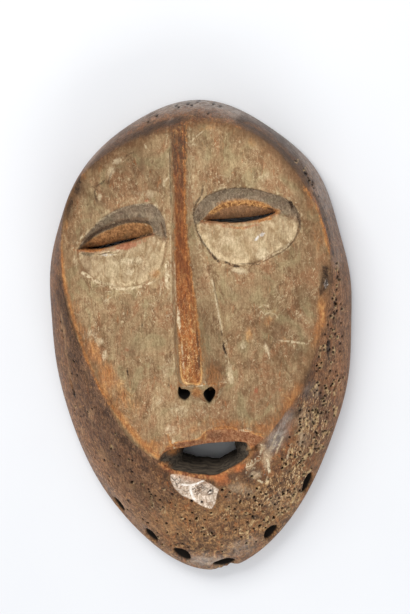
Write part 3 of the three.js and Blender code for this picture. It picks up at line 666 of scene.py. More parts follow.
# soft marks of the finish, laid on: x, y, half sizes, turn in degrees, strength
# among them are painted shade, painted light, and painted sheen on a dusty film
MARKS = {
    "ash": [
        (65.4, 29.4, 1.1, 1.6, -4, 0.9), (64.3, 35.4, 0.7, 0.7, -4, 0.8), (36.7, 55.8, 1.9, 0.9, 26, 0.9),
        (34, 53.9, 1.9, 0.9, 26, 0.8), (42.2, 61.6, 0.8, 0.6, -4, 1), (-38.6, 49.9, 5.5, 0.7, 2, 0.7),
        (34.8, -48.8, 3.8, 7.3, -29, 0.32), (29.7, -62.7, 1.4, 1.4, -4, 0.4),
    ],
    "rough": [
        (-38.8, 15.8, 22.3, 22.6, -4, 0.6), (27.6, 0.7, 21.8, 24.4, -4, 0.55), (-30.4, 85.8, 19.3, 19.4, -4, 0.35),
        (-16.3, -41, 14.7, 8, -4, 0.6), (39.5, 64.5, 9.7, 4.8, -4, 0.5), (-37.5, -23.4, 17.3, 14.9, 16, 1),
        (-43.1, 6, 7, 14.8, 6, 0.9), (-10.5, -28.9, 12.8, 8.7, -4, 0.9), (-27.6, 45.1, 14, 7.7, -4, 0.8),
        (27, -9, 14.3, 17.6, -4, 0.55), (30.4, -60.5, 11.4, 13.6, -4, 1), (-2.1, -90.7, 29.7, 19, -4, 0.8),
        (-31.9, 62.2, 14.6, 5.3, 16, 0.7), (31.5, 69.7, 12.5, 3.6, -4, 0.9), (-70.2, -4.2, 6.1, 37.7, -4, 0.8),
        (67.5, -9.9, 5.8, 31.6, -4, 0.6), (-39.9, 76.7, 14.8, 9.6, -4, 0.4), (-6.2, -63.7, 11.2, 9.4, -24, 0.6),
    ],
    "dark": [
        (64.8, 31.9, 1.9, 5.8, 2, 0.95), (63.2, 24.3, 1.2, 2.9, -4, 0.7), (-50.6, 84.6, 1.7, 4.3, -29, 0.8),
        (-54.7, 75.8, 1.3, 3.9, -24, 0.6), (-52.2, 90.9, 2.3, 4.5, -39, 0.5), (0.6, 112.5, 6.9, 1.7, -4, 0.6),
        (-31, 106.3, 9.4, 2.2, 34, 0.5), (-15.7, 114.1, 8.3, 1.8, 20, 0.35), (-46.6, -51.1, 4.7, 5.2, 36, 0.5),
        (-40.4, -48.3, 7.5, 2.8, -44, 0.5), (-60.4, -0.2, 4.5, 6.5, 11, 0.85), (-50.7, -11.8, 3.6, 6.2, 31, 0.7),
        (-44.6, -26.6, 3.5, 5.9, 31, 0.85), (-40.5, -38.3, 4.1, 5.4, 31, 0.6), (-61.6, 22.3, 1.4, 6.1, 4, 0.8),
        (-49.4, 50.6, 2.9, 1.1, 1, 0.6), (8.1, -40.1, 3.9, 2.3, -4, 0.45), (-1.9, -75.4, 0.7, 0.8, -4, 1.2),
        (-10.3, -48.8, 1, 1, -4, 1), (-15.9, 107.5, 3.6, 2.1, 6, 1), (-2.3, 111.8, 3.2, 1.3, 16, 0.9),
        (-8.9, 109, 6, 2.2, 8, 0.55), (-50, 82.8, 2, 4.3, -24, 0.9), (-56, 72.4, 1.6, 4.8, -19, 0.8),
        (66.5, 31.7, 2.8, 5.8, -7, 1), (68, 18.5, 1.6, 8, -6, 0.6), (55.2, -14.5, 2.8, 5.4, -24, 0.7),
        (54.5, -23.5, 3.8, 4.7, -14, 0.55), (48.3, -32.1, 1.9, 3.7, -34, 0.8), (22.8, -87, 2.9, 1.7, 6, 0.9),
        (1, -93.5, 2.5, 4.6, -4, 0.7), (-7.5, -85.8, 2.6, 2.4, -4, 0.4), (-61.7, 26.8, 1.6, 3.5, -14, 0.9),
        (-42, -22.9, 2.5, 4.4, 31, 0.8), (-14.7, -82.2, 3.1, 2, 26, 0.35), (-0.9, -81.1, 4, 2.5, -4, 0.35),
        (17.7, -85.4, 4.4, 1.8, 6, 0.5),
    ],
    "warm": [
        (1.9, -16.4, 2.5, 3.1, -4, 1), (2.7, -40.1, 1.4, 2.3, -4, 1), (-13.9, -48.8, 2.4, 1.5, -4, 1.2),
        (25.5, -47.4, 1.4, 0.9, -4, 1.2), (-17.6, -55.1, 2, 1.4, -34, 1), (62.9, 14.6, 1.9, 7.3, 4, 1),
        (45.6, -26.9, 2.1, 10.7, 30, 0.6), (49.7, -20.5, 1.9, 4, 11, 0.7), (-15.7, 40.2, 2.8, 2.6, 16, 0.8),
        (-48.4, 3.6, 2.6, 6.4, 16, 0.45), (-42.6, -8.7, 4.1, 6.8, 6, 0.5), (27.6, 8, 1.7, 3.8, -12, 0.8),
        (37, 13.6, 2.4, 2.4, -4, 0.75), (39.2, 18.8, 3.8, 1.5, -24, 0.35), (45, 4.2, 2.4, 1, -4, 0.6),
        (34.7, 99.8, 2.3, 2.3, -34, 0.45), (71.9, 24.1, 2.9, 7, -4, 0.5), (65.8, -20.1, 4.8, 8.8, -4, 0.5),
        (-67.1, 10.1, 3.6, 5.6, -4, 0.6), (-58.2, 65.1, 1.6, 2.9, -14, 0.7), (-47.6, 88, 1.3, 1.9, -4, 0.9),
        (60.7, -2.4, 1.9, 7.3, -4, 0.6), (58.5, 0.5, 1.9, 4.3, -4, 0.5), (44.3, 66.1, 1.9, 1.2, -4, 0.9),
        (3.1, -88.6, 9, 9, -4, 0.35), (1.1, -77.6, 5, 2.8, -24, 0.5), (9.6, -75.9, 3.9, 2.9, -4, 0.45),
        (16.3, -88.9, 2.9, 2.3, -4, 0.6), (-31.6, -62.1, 5.5, 5.3, -4, 0.2), (1.9, -16.7, 3, 4.1, -4, 0.6),
        (-36.8, -13.6, 3, 4.9, 16, 0.5), (-33.3, -21, 4, 5, 16, 0.4), (-61.7, 43.1, 1, 9, -6, 0.5),
        (12.8, 107.8, 5.7, 1.2, 0, 0.4), (29.2, 107.5, 4, 1, -22, 0.55), (-1, 107.8, 4.9, 1.4, 1, 0.6),
        (39.2, 95.8, 2.4, 2.3, -44, 0.3), (-32.3, -28.4, 3.5, 3.5, -4, 0.3),
    ],
    "brown": [
        (-50.4, 43.8, 5.3, 6.2, 26, 0.75), (-46.5, 48.3, 6.4, 1.6, 2, 0.7), (-30.2, 9.3, 6.1, 10.6, -4, 0.45),
        (-17.1, -1.9, 3.8, 8.9, -4, 0.35), (-48.7, 45.3, 4.1, 4.5, -34, 0.55), (-18.3, 91.8, 1.9, 5.2, -4, 0.8),
        (-39.5, 75.7, 3.9, 1.9, -39, 1), (-44.9, 70.6, 2, 4.3, 6, 0.7), (-47.1, 81.7, 4, 6.7, -24, 0.5),
        (-30.9, 27.3, 5.4, 3.4, -4, 0.6), (-30.9, 20, 3.5, 5.4, -4, 0.6), (-29.1, 3.4, 4.5, 4.8, -4, 0.7),
        (23.1, 27.1, 8, 8.2, -4, 0.5), (41.5, 8.9, 3.3, 6.3, -4, 0.9), (50.3, -2.6, 4.3, 4.2, -4, 0.7),
        (10.8, -7.1, 4.1, 5.3, 6, 0.8), (26.8, -5.1, 4.3, 5.8, -4, 0.5), (24.9, 101.9, 3.3, 5.1, -4, 0.5),
        (34.2, 90, 3.8, 3.3, -4, 0.35), (15.5, 104.3, 1.4, 5.6, 1, 0.5), (51.8, 85.4, 3.8, 6.6, 31, 0.9),
        (55.6, 70.9, 3.7, 6.7, 11, 0.45), (59.8, 46.5, 2.8, 10.4, 1, 0.5), (55.3, 27.5, 3.8, 10.7, -4, 0.4),
        (-29.1, 89.5, 4.9, 6.6, -24, 0.35), (-11.8, 94.3, 3.9, 8.4, -4, 0.3), (-36.9, 61.5, 4.9, 2.6, 21, 0.25),
        (31.9, -23.9, 10.5, 6.7, -4, 0.3), (-19.7, 17.7, 4.3, 10.8, -4, 0.3), (7.3, 12.5, 2.7, 11.7, 0, 0.5),
        (15.7, 25.5, 3.4, 8.7, 2, 0.45), (-44.3, 23.2, 6.1, 5.9, -4, 0.3), (35, -36.3, 10.5, 3.5, -4, 0.5),
        (15.1, -32.5, 7.7, 2.4, 1, 0.35), (-15.2, -25.3, 6.9, 4.5, -4, 0.3), (-23.3, -35.9, 8, 4.5, -24, 0.45),
        (61.3, 7.5, 4.3, 5.6, -4, 0.6), (-54.2, 57.7, 2.6, 6.8, -4, 0.4),
    ],
    "pale": [
        (-28.1, 41.1, 2.1, 1.4, -4, 1), (-36.9, 35.2, 7.1, 1.2, -10, 0.5), (-10.6, 36.6, 1.2, 7.9, -4, 0.5),
        (-34.7, 64.8, 1, 0.6, -4, 0.9), (-38.6, 63.9, 0.7, 0.5, -4, 0.8), (-26, 64.6, 0.6, 0.7, -4, 0.9),
        (-19, 63.1, 0.7, 0.5, -4, 0.8), (-22.7, 47, 2, 1.5, -4, 0.7), (-46, 8, 2.6, 2, -24, 0.8),
        (-52.4, 22, 1, 1.3, -4, 0.9), (-32.1, 21.4, 1.5, 1.4, -4, 0.6), (-17.4, -21.3, 4.9, 3.9, -4, 0.45),
        (-7.9, -26.5, 5.8, 4.9, -4, 0.5), (-12.5, -36.2, 6.9, 3.4, -4, 0.5), (-26.8, -13.8, 1.5, 4.9, -4, 0.4),
        (-12.7, -8, 1.2, 4.8, -4, 0.5), (-45.9, -31.6, 3.7, 2.2, -34, 0.4), (14.9, -40.2, 1.4, 1.5, -4, 0.4),
        (23.4, -38.2, 3.4, 0.8, -9, 0.9), (16.9, -63.1, 0.9, 1.1, -4, 1), (-16.3, 101.1, 1.6, 1, -14, 1),
        (-30.3, 94.8, 3, 1.4, 11, 1), (-33.6, 89.7, 2, 3.8, -24, 0.8), (-39.8, 78.3, 1.7, 1.3, -4, 0.9),
        (-7.6, 84.1, 1, 2.8, -24, 0.7), (-16.2, 77.9, 6.7, 2.9, 6, 0.6), (-27.1, 46.5, 7.5, 2.4, 1, 0.7),
        (-28.1, 41.1, 2.2, 1.2, -4, 1), (-22.6, 45.9, 3.5, 1.9, -4, 0.6), (-9.7, 38.1, 1.2, 4.9, -9, 0.8),
        (-4.7, 19.2, 1, 3.9, -7, 1), (-43.7, 1.1, 1.5, 2.7, -9, 1), (-40.9, 28, 3.1, 1, 16, 0.6),
        (-50.4, 11, 6.1, 4.5, -24, 0.5), (-13.1, -7.5, 5.8, 8.7, -9, 0.45), (36.2, 46.5, 3.8, 3.4, 16, 0.8),
        (25.3, 39.1, 4.3, 1.9, -14, 0.8), (17.3, -10.4, 2.2, 6.2, 4, 0.7), (35.7, 0.1, 1.6, 4.9, 14, 0.6),
        (52.3, 15.2, 2.4, 2.8, -24, 0.5), (52, 2.1, 3.8, 1, -10, 0.6), (24.7, 3.3, 1.5, 2.4, -4, 0.8),
        (21, 82.9, 7.6, 6.6, -4, 0.35), (38.5, 82.6, 7.5, 4.7, -4, 0.45), (11.9, 90.5, 2.9, 11.3, -4, 0.35),
        (20.5, 54.2, 6.6, 4.7, -4, 0.45), (9.8, 57.3, 2.4, 7.7, -14, 0.35), (-10.3, 26.9, 3, 9.6, -7, 0.35),
        (-12.1, 53.7, 2.3, 5.8, -4, 0.3), (1.8, -27.9, 12.6, 3.4, -4, 0.35), (-7.7, -24.1, 3.9, 3, -4, 0.35),
        (23, -20.8, 4.8, 3.4, -4, 0.3), (15.9, 6.1, 1.1, 7.8, 4, 0.4), (-55.1, 47, 1.4, 4.5, 11, 0.5),
    ],
    "red": [
        (-28.9, 53.4, 6.5, 1.5, 10, 1.1), (-32.3, 3.9, 1.5, 1.5, -4, 0.5), (-28.7, 2.4, 2, 1.5, -4, 0.4),
        (-6.6, -42.5, 4.3, 1.8, 2, 0.4), (9.7, -63, 3.8, 3.5, 21, 0.8), (18.9, -57.3, 3.9, 2.2, 26, 0.8),
        (6, -60.7, 3.8, 1.7, -4, 0.7), (-16.9, 75.3, 1.3, 0.8, -4, 1), (29.6, -19.1, 1.1, 1.3, -4, 1),
        (41, -19.2, 1.2, 1, -4, 0.8), (13.4, -15, 1.7, 1.2, -4, 0.4),
    ],
    # painted sheen on a dusty greyish film: partly the film's own colour, partly painted reflection at the edges, the
    # jaw and the chin
    "grey": [
        (-5, -111.7, 14.4, 4.4, -4, 0.7), (14.4, -105, 8.8, 5.4, 26, 0.5), (37.7, -43.1, 3.7, 8.4, -34, 1),
        (42.2, -34.7, 2.8, 5.8, -39, 0.8), (-32.5, 49.9, 4.5, 1.4, 4, 0.5), (24.7, 3.3, 1.4, 1.9, -4, 0.5),
        (-3.3, 111.8, 3, 1.3, 11, 0.5), (54.5, -23.5, 3.3, 4.7, -4, 0.5),
    ],
    "cream": [
        (30.2, -47.6, 2.4, 2.9, 16, 0.7), (34.9, -47.7, 1.4, 5.3, -24, 0.6), (23.6, -57.9, 2.4, 2.3, 16, 0.6),
        (31.9, -54.4, 2.4, 7.3, -9, 0.9), (25.5, -62.4, 3.1, 2.6, -4, 0.9), (16.3, -68.4, 5.7, 4.4, -4, 0.6),
        (21.7, -71.5, 5.7, 4.6, -4, 0.45), (50.3, -35.9, 7.5, 8.9, 6, 0.5), (49.4, -47.9, 6.6, 10.4, -4, 0.45),
        (35.6, -79.6, 8.7, 8, 36, 0.45), (12.1, -75, 4.9, 4.6, -4, 0.3), (56, -22.3, 0.9, 4.1, -6, 0.3),
    ],
    "tan": [
        (-65.4, 13.5, 2.1, 2.6, -4, 0.9), (-65, 1.1, 1.4, 4.2, -4, 0.8), (-65, -9.4, 1.7, 6.3, -4, 0.7),
        (-54.8, -8.9, 1.9, 2.6, -4, 0.8), (-55.1, -14.1, 1.8, 2.3, -4, 0.6), (-53.9, -28.2, 2.6, 1.4, 16, 0.9),
        (-61.7, -24.9, 1.3, 3.5, -4, 0.6), (-62.5, -40.7, 1.4, 1.7, -4, 0.9), (-43.1, -40.3, 3.6, 1.1, -44, 0.8),
        (-52.5, -50.7, 1.8, 1.2, -4, 0.7), (-32.6, -47.9, 1.7, 1.2, -4, 0.9), (-42.1, -58.8, 1.8, 2.5, -4, 0.7),
        (-34.4, -78.6, 1.8, 1.3, -4, 0.8), (23.8, -56.2, 3.3, 4.6, 16, 0.7), (-54.2, -28.5, 3.1, 1.8, -14, 0.8),
        (-50.4, -51.9, 4.7, 3.9, -24, 0.7), (-37, -68, 2.5, 2.8, -4, 0.8), (-27.8, -69.9, 2, 1.8, -4, 0.8),
        (-42.2, -42.1, 2.9, 2.5, -29, 0.6), (-36.2, -88.4, 8.5, 8.1, -4, 0.35), (-19.9, -89.2, 8.6, 9.1, -4, 0.45),
        (-62.6, -18.5, 4.2, 7.7, 6, 0.4), (-62.1, -40.6, 4.5, 6.8, 16, 0.3), (-27.1, -74.5, 6.5, 6.6, -4, 0.3),
        (-3.8, -72.4, 2.9, 2.1, -4, 0.5), (-14.5, -73.9, 5.1, 4.6, -4, 0.3), (9.7, -103, 1.3, 1.3, -4, 1.2),
        (-64.1, -63.7, 3.1, 5.2, 26, 0.3), (-70.2, -4.2, 3.1, 10.1, 4, 0.35),
    ],
    "soft": [
        (67.2, 28.8, 2.8, 11.8, -8, 0.9), (63.6, 7, 3.3, 11.2, -14, 0.8), (53.2, -16.2, 4.2, 7.7, -29, 0.9),
        (46.2, -24, 2.8, 4.9, -34, 0.6),
    ],
    "rust": [
        (-46.2, -1.3, 2.6, 9.7, 0, 0.7), (-42, -7.7, 2.5, 4.9, -1, 1), (-35.2, -19.5, 3.5, 3.4, -4, 0.8),
        (-30, -24.5, 4, 4, -4, 0.5), (-48.7, 6.1, 2.1, 3, -4, 0.7), (6.2, 3.6, 1.7, 12.1, 0, 0.5),
        (9.5, -7.6, 4.3, 4.2, -4, 0.7), (-6.4, 51.2, 1.7, 14.2, -4, 0.4), (10.2, -11.1, 3.9, 3.3, -4, 0.9),
        (1.7, -17.4, 3.5, 3.1, -4, 0.9), (-5.2, -6.1, 1.4, 5.4, -4, 0.4), (13.3, -15.6, 2.6, 1.1, -4, 0.6),
        (-50, 2.6, 4.6, 7.9, 12, 0.75), (-43.1, -9.2, 5, 7.8, 10, 0.85), (-36.4, -21.9, 4.6, 6.8, 21, 0.6),
        (-28.3, -35.8, 5, 3.9, 31, 0.4), (-23.8, -43.3, 6, 3, 26, 0.7), (-16.6, -45, 4.8, 2.7, 6, 0.6),
        (-0.7, -36.7, 4.9, 3, 6, 0.5), (13.5, -34.3, 13.3, 2.5, -8, 0.85), (31.1, -37.5, 6.7, 2.9, -24, 0.8),
        (45.1, -27.3, 4.2, 10.3, -32, 0.9), (37.8, -36.5, 3.7, 5.3, -44, 0.7), (60.3, 7.6, 2.8, 6.8, -8, 0.7),
        (63.1, 21.9, 2.4, 8.8, -4, 0.6), (62.9, 51, 2.3, 7.7, 8, 0.5), (60.2, 68.1, 2.8, 5.7, 16, 0.4),
        (-54.4, 13.4, 2.6, 5.8, 11, 0.7), (-56.5, 25.8, 2.1, 4.9, 6, 0.6), (10.5, -14.2, 3.5, 2.8, -4, 0.3),
    ],
    "trackv": [
        (55.2, -38.4, 6.2, 14.8, 2, 1), (51.1, -26.2, 3.7, 5.6, -4, 0.7), (62.3, -29.9, 2.9, 7.8, 2, 0.7),
        (47.2, -55.9, 6.7, 8, -29, 0.7), (64.8, -9, 2.8, 8.2, -4, 0.4), (68.8, 10.5, 2.4, 8.5, -4, 0.4),
    ],
    "trackd": [
        (36.2, -73.5, 9.6, 8.9, 31, 1), (45.1, -69, 5.8, 7.1, 26, 0.8), (27.1, -78.5, 7.6, 5.9, 26, 0.8),
        (17.2, -73.2, 4.7, 5.4, 26, 0.5), (10.2, -83.7, 6.7, 6.3, 6, 0.5), (-2.3, -92, 10.9, 7.3, -4, 0.4),
        (17.2, -93.9, 7.9, 5.9, 16, 0.5), (-28.7, -77.7, 7.7, 8.4, -34, 0.35), (37.2, -86.3, 4.9, 4.9, 36, 0.6),
    ],
    "facet": [
        (-4.5, -61.7, 7.2, 2.1, -16, 1), (2.3, -63.2, 2.9, 2.3, -24, 0.8),
    ],
    "shade": [
        (7.8, 102.5, 5.7, 7.5, -4, 0.6), (1, 108.6, 5.7, 4.6, -4, 0.5), (-30.1, 46.1, 16.1, 9.4, -4, 0.3),
        (-18.7, 61.6, 3, 3.2, -4, 0.6), (6.3, 8.1, 2.7, 15.8, 0, 0.5), (10.5, -4.6, 4.4, 6.5, -4, 0.35),
        (-42.1, 81.5, 11.1, 12.5, -24, 0.6), (-55.1, 77.2, 4.1, 10.6, -19, 0.8), (-47.2, 61.4, 9.4, 5.1, 26, 0.4),
        (48, 6.4, 10.4, 16.6, -4, 0.4), (52.7, 22.9, 6.6, 12.6, -4, 0.35), (32.2, -19, 14.3, 9.6, -4, 0.25),
        (-24.1, 92.6, 17.6, 14.2, -4, 0.8), (-35.6, 63.9, 9.7, 7, 21, 0.4), (-1.2, 100.8, 4.4, 10.2, -4, 0.5),
        (55.9, 75.6, 4.7, 14.1, 11, 0.5), (11.9, 90.5, 1.9, 12.2, -2, 0.3), (-58.6, 8.4, 5.2, 20.7, 8, 0.6),
        (-46.4, -31.7, 8.8, 16.1, 26, 0.3), (-30.4, 5.8, 14.9, 14.5, -4, 0.3), (37.4, 4.9, 14.2, 16.6, -4, 0.25),
        (12.8, 8.9, 4.6, 16, 0, 0.25),
    ],
    "light": [
        (56.2, 80.4, 4.1, 5.7, 36, 0.6), (69.2, -5.2, 2.9, 14.2, -4, 0.7), (70, 30.4, 2.3, 14.8, -4, 0.4),
        (64.5, 6.7, 2.3, 9.3, -4, 0.35), (-54.6, -61.6, 6.5, 11.7, 31, 0.5), (-66.5, -42, 6.7, 11.9, 16, 0.5),
        (-70.2, -26.1, 5, 14.5, 8, 0.4), (-41.9, -81.9, 5.9, 11.5, 41, 0.3), (-4.7, -109.6, 13.2, 5, -4, 0.9),
        (14.1, -99.7, 12.5, 9.6, 16, 0.45), (-4.8, -91.9, 15.2, 9.4, -4, 0.3), (-23.2, -77.1, 10.5, 9.2, -34, 0.15),
        (35.5, -61.4, 12.3, 17.1, 26, 0.35), (36.8, -43, 4.3, 8.3, -34, 0.4),
    ],
}
# strokes: kind, half width, strength, points
STROKES = [
    ("soft", 4.1, 1, [(-57.7, 70), (-51.6, 81.9), (-45, 90.3), (-37.7, 97), (-29.7, 101.3), (-20.6, 104.6), (-13.7, 107), (-3.9, 109.7), (5.7, 111), (17.6, 111.1), (26.7, 109.4), (34.6, 105.6), (41.8, 100.3), (48.7, 94.2), (54.4, 86.7), (57.5, 79.7)]),
    # painted sheen along the forehead's top and the right rim, on a dusty greyish film
    ("grey", 3.6, 0.75, [(-47.8, 95.6), (-39.1, 104), (-28.5, 111.2), (-17.2, 116.4), (-4.7, 118.7), (7.9, 119.3), (19.7, 116.9), (31.2, 111.9), (41.6, 104.8), (51.2, 96.2), (59, 86.6), (64.1, 75.5), (67, 65)]),
    ("grey", 3.1, 0.35, [(67.4, 63.8), (69.7, 50.6), (71.3, 38.5)]),
    # a brown line with painted shadow along the left lens's upper edge
    ("dark", 1.1, 0.6, [(-47.9, 57.8), (-44, 60.1), (-39.8, 62.2), (-35.1, 64), (-30.6, 65.4), (-25.1, 66.1), (-19.2, 65.6)]),
    ("warm", 1.3, 0.6, [(16.9, 71.4), (23.2, 72.2), (29.4, 72.1), (35.5, 70.7), (40.1, 68.9)]),
    ("dark", 0.5, 1.2, [(50.8, 70), (51.3, 67.1)]),
    ("dark", 0.4, 0.8, [(53.5, 66.7), (54.7, 63.3), (55.2, 59.9), (54.5, 56.1)]),
    ("dark", 0.4, 0.7, [(8.8, 78.9), (6.3, 76.2), (5.3, 72.5), (5.2, 68.6)]),
    ("red", 0.8, 0.55, [(-51.8, 52.3), (-44.5, 51), (-36.5, 51.7), (-27.4, 53.8), (-19, 56)]),
    ("red", 0.8, 0.6, [(17.8, 60.9), (23.4, 59.4), (29.2, 59.3), (35, 60.5)]),
    ("warm", 0.5, 0.9, [(-52.1, 52.8), (-47.5, 52), (-40.5, 52.2)]),
    ("warm", 0.5, 0.9, [(32.1, 61.5), (37, 62.4), (41.9, 63.7)]),
    ("warm", 0.7, 1.1, [(-14.7, -39.1), (-13.6, -41.6), (-13.3, -45.5)]),
    ("pale", 0.5, 0.9, [(5.8, -12.6), (10.1, -13.9), (15.2, -14.2)]),
    ("pale", 0.5, 0.8, [(-1.9, -13), (1.9, -13.5), (5.4, -12.8)]),
    ("warm", 0.8, 0.9, [(-22.7, -41.4), (-21, -44.4), (-19.7, -47.9)]),
    ("pale", 0.7, 0.8, [(-12.7, -39.7), (-12.4, -42.7), (-12.4, -45.6)]),
    ("pale", 0.8, 0.9, [(-9.6, 42.5), (-10.4, 39.1), (-9.9, 32.7)]),
    ("pale", 0.7, 0.25, [(-5.3, 22.5), (-4.5, 18.7), (-4.2, 15)]),
    ("cream", 0.7, 1, [(58, -19.7), (58, -22.9), (57.1, -26.2)]),
    ("cream", 0.7, 1, [(49.2, -41), (49, -45.5), (48.1, -49.7)]),
    ("dark", 0.7, 1.1, [(64.9, -0.1), (64.4, -4.7), (64.3, -8.9)]),
    ("dark", 2, 0.7, [(-65.2, 39.3), (-63.7, 30.1), (-61.7, 20.8), (-58.2, 2.2), (-55.5, -7.9), (-51.5, -17.2), (-44, -27.1), (-37, -37.2), (-29.8, -47), (-23.1, -54.5)]),
    ("shade", 3.1, 0.5, [(-65.5, 36.8), (-64, 28), (-62.1, 18.2), (-60, -1.2), (-57.2, -12.2), (-52.1, -22), (-44.2, -32.4), (-35.7, -43.1), (-25.9, -52.9), (-18.5, -58.9)]),
    # painted sheen down the lower left wall, on a dusty greyish film
    ("grey", 3.1, 0.32, [(-73.6, -12.1), (-72, -26.8), (-68.1, -42.6), (-61.5, -56.7), (-53.6, -68.6), (-44, -81.1), (-33.9, -94.2)]),
    # painted shade under the forehead band's edge, top right
    ("dark", 1.7, 0.65, [(38.7, 102.9), (42.8, 99.5), (46.8, 95.7), (50.4, 92), (53.6, 88.2), (56.6, 83.7)]),
    ("light", 7.1, 0.2, [(20, 90), (35.7, 91.3)]),
    ("shade", 6.1, 0.3, [(1.7, -28.9), (21, -29.9)]),
    ("shade", 7.1, 1, [(-50.5, -39), (-40.4, -55.1), (-28.5, -76)]),
    ("brown", 1.3, 0.9, [(-47, -13.5), (-42.4, -20.9), (-36.4, -30.3), (-29.1, -40.2), (-24, -44.8)]),
    ("warm", 1.5, 0.7, [(-65.2, 27.9), (-64.5, 18.8)]),
    ("shade", 2.5, 0.3, [(-1.7, 72.7), (-1.6, 44.2)]),
    ("warm", 1.6, 1.3, [(-47, -14), (-42.4, -21.4), (-36.5, -30.8), (-29.1, -40.7), (-24.5, -45.8), (-20.8, -48.9)]),
    ("dark", 1.8, 1.5, [(-49.2, -18.4), (-44.6, -27.1), (-39.2, -37), (-33.6, -44)]),
    ("tan", 0.8, 1, [(-63.4, 28.1), (-66, 18.5)]),
    ("tan", 0.9, 0.9, [(-56.2, -29.1), (-54.9, -36.1)]),
    ("tan", 0.8, 0.9, [(-52, -47.2), (-50.5, -52.5)]),
    ("dark", 1.8, 1.15, [(-66.1, 31.7), (-64.7, 26.5), (-63.2, 19), (-61.4, 10), (-59.5, 2), (-57, -6)]),
    ("light", 2.5, 0.75, [(70.4, 22.2), (70.7, 4.6), (70.1, -12.1), (68.1, -27.7)]),
    ("tan", 0.8, 0.9, [(-65.2, 18.7), (-64.7, 12.6), (-64.6, 4.9), (-64.1, -4), (-64.1, -12.4)]),
    ("shade", 4.6, 0.95, [(-62, -2.5), (-59.5, -10.5), (-54.9, -20.4), (-49, -28.9), (-42.1, -37.4), (-34.6, -46.4), (-27.4, -55.9)]),
    ("dark", 2.3, 0.5, [(-51, -27.1), (-46.1, -33.7), (-40.4, -41.6), (-34, -49.7)]),
    ("brown", 1.5, 0.8, [(-49.4, 56.9), (-43.8, 60.9), (-37.7, 63.5), (-31.5, 65.5), (-25.1, 66.1), (-18.3, 65.3)]),
    ("brown", 1.1, 0.7, [(-11.1, 63.5), (-10.6, 60.5), (-9.8, 56)]),
    # painted shade along the forehead's border, under the band's edge, right and left
    ("dark", 2.5, 0.85, [(28.8, 109.5), (34.3, 106.7), (40.7, 102.1), (47.2, 96.5), (52.6, 90.4), (57.5, 83.1), (60.1, 76.9)]),
    ("dark", 2, 0.85, [(-42.8, 93), (-38.1, 98.2), (-30, 102.5), (-22, 105.9), (-14, 108.7), (-7.1, 110.7), (-0.2, 112.2)]),
    ("dark", 1.3, 0.5, [(-60.5, 61.8), (-57.7, 70.5), (-53.3, 79.6), (-47.1, 88.5)]),
    ("brown", 2.5, 0.7, [(29.3, 105.3), (36.6, 100.6), (43, 95.5), (48.8, 90.4), (53.6, 83.9), (56.9, 76.5)]),
    ("rust", 2, 0.8, [(-64.6, 63.7), (-62.6, 52.9), (-62.2, 38.2), (-60.1, 26.3), (-57, 13.4)]),
    ("warm", 0.8, 0.9, [(-61.9, 52.9), (-61.7, 40.7), (-61.2, 32.2), (-58.9, 22.3), (-56.5, 12.4), (-53.4, -0.4), (-48.5, -12.1), (-42.9, -21.4), (-37, -30.8), (-29.2, -41.2), (-24, -45.8), (-19.8, -49.4)]),
    ("warm", 0.6, 0.35, [(-61.3, 53), (-60.6, 60.3), (-57.9, 67.6)]),
    ("warm", 0.8, 1, [(57.7, 76.9), (62, 71.6), (64.2, 66.6), (65.2, 62.3), (66.4, 54.6), (67.2, 47.7)]),
    ("dark", 0.5, 0.8, [(60.9, 74.9), (64.2, 69.2), (66.6, 61.7), (68.1, 52.7), (68.6, 45.5)]),
    ("warm", 1.1, 0.6, [(39.7, -36.4), (44.9, -30), (49.1, -23.5), (51.3, -18.3)]),
    ("pale", 1.5, 0.35, [(-56.2, 47), (-54.5, 42.5), (-45.4, 35.5), (-31.2, 33.2), (-20.6, 34.2), (-15.4, 36.9), (-11.6, 42.5)]),
    ("pale", 0.5, 0.75, [(11.5, 35.4), (12.8, 25.6), (13.7, 18.3), (14.9, 9.5)]),
    ("pale", 0.5, 0.6, [(15.2, 3.7), (15.9, -2.6)]),
    ("pale", 0.5, 0.25, [(-39.9, 76.2), (-30.9, 78.7), (-20, 80.5)]),
    ("brown", 0.6, 0.7, [(-42.1, 74.4), (-32.4, 78.2), (-20, 79.5), (-9.2, 80.9)]),
]
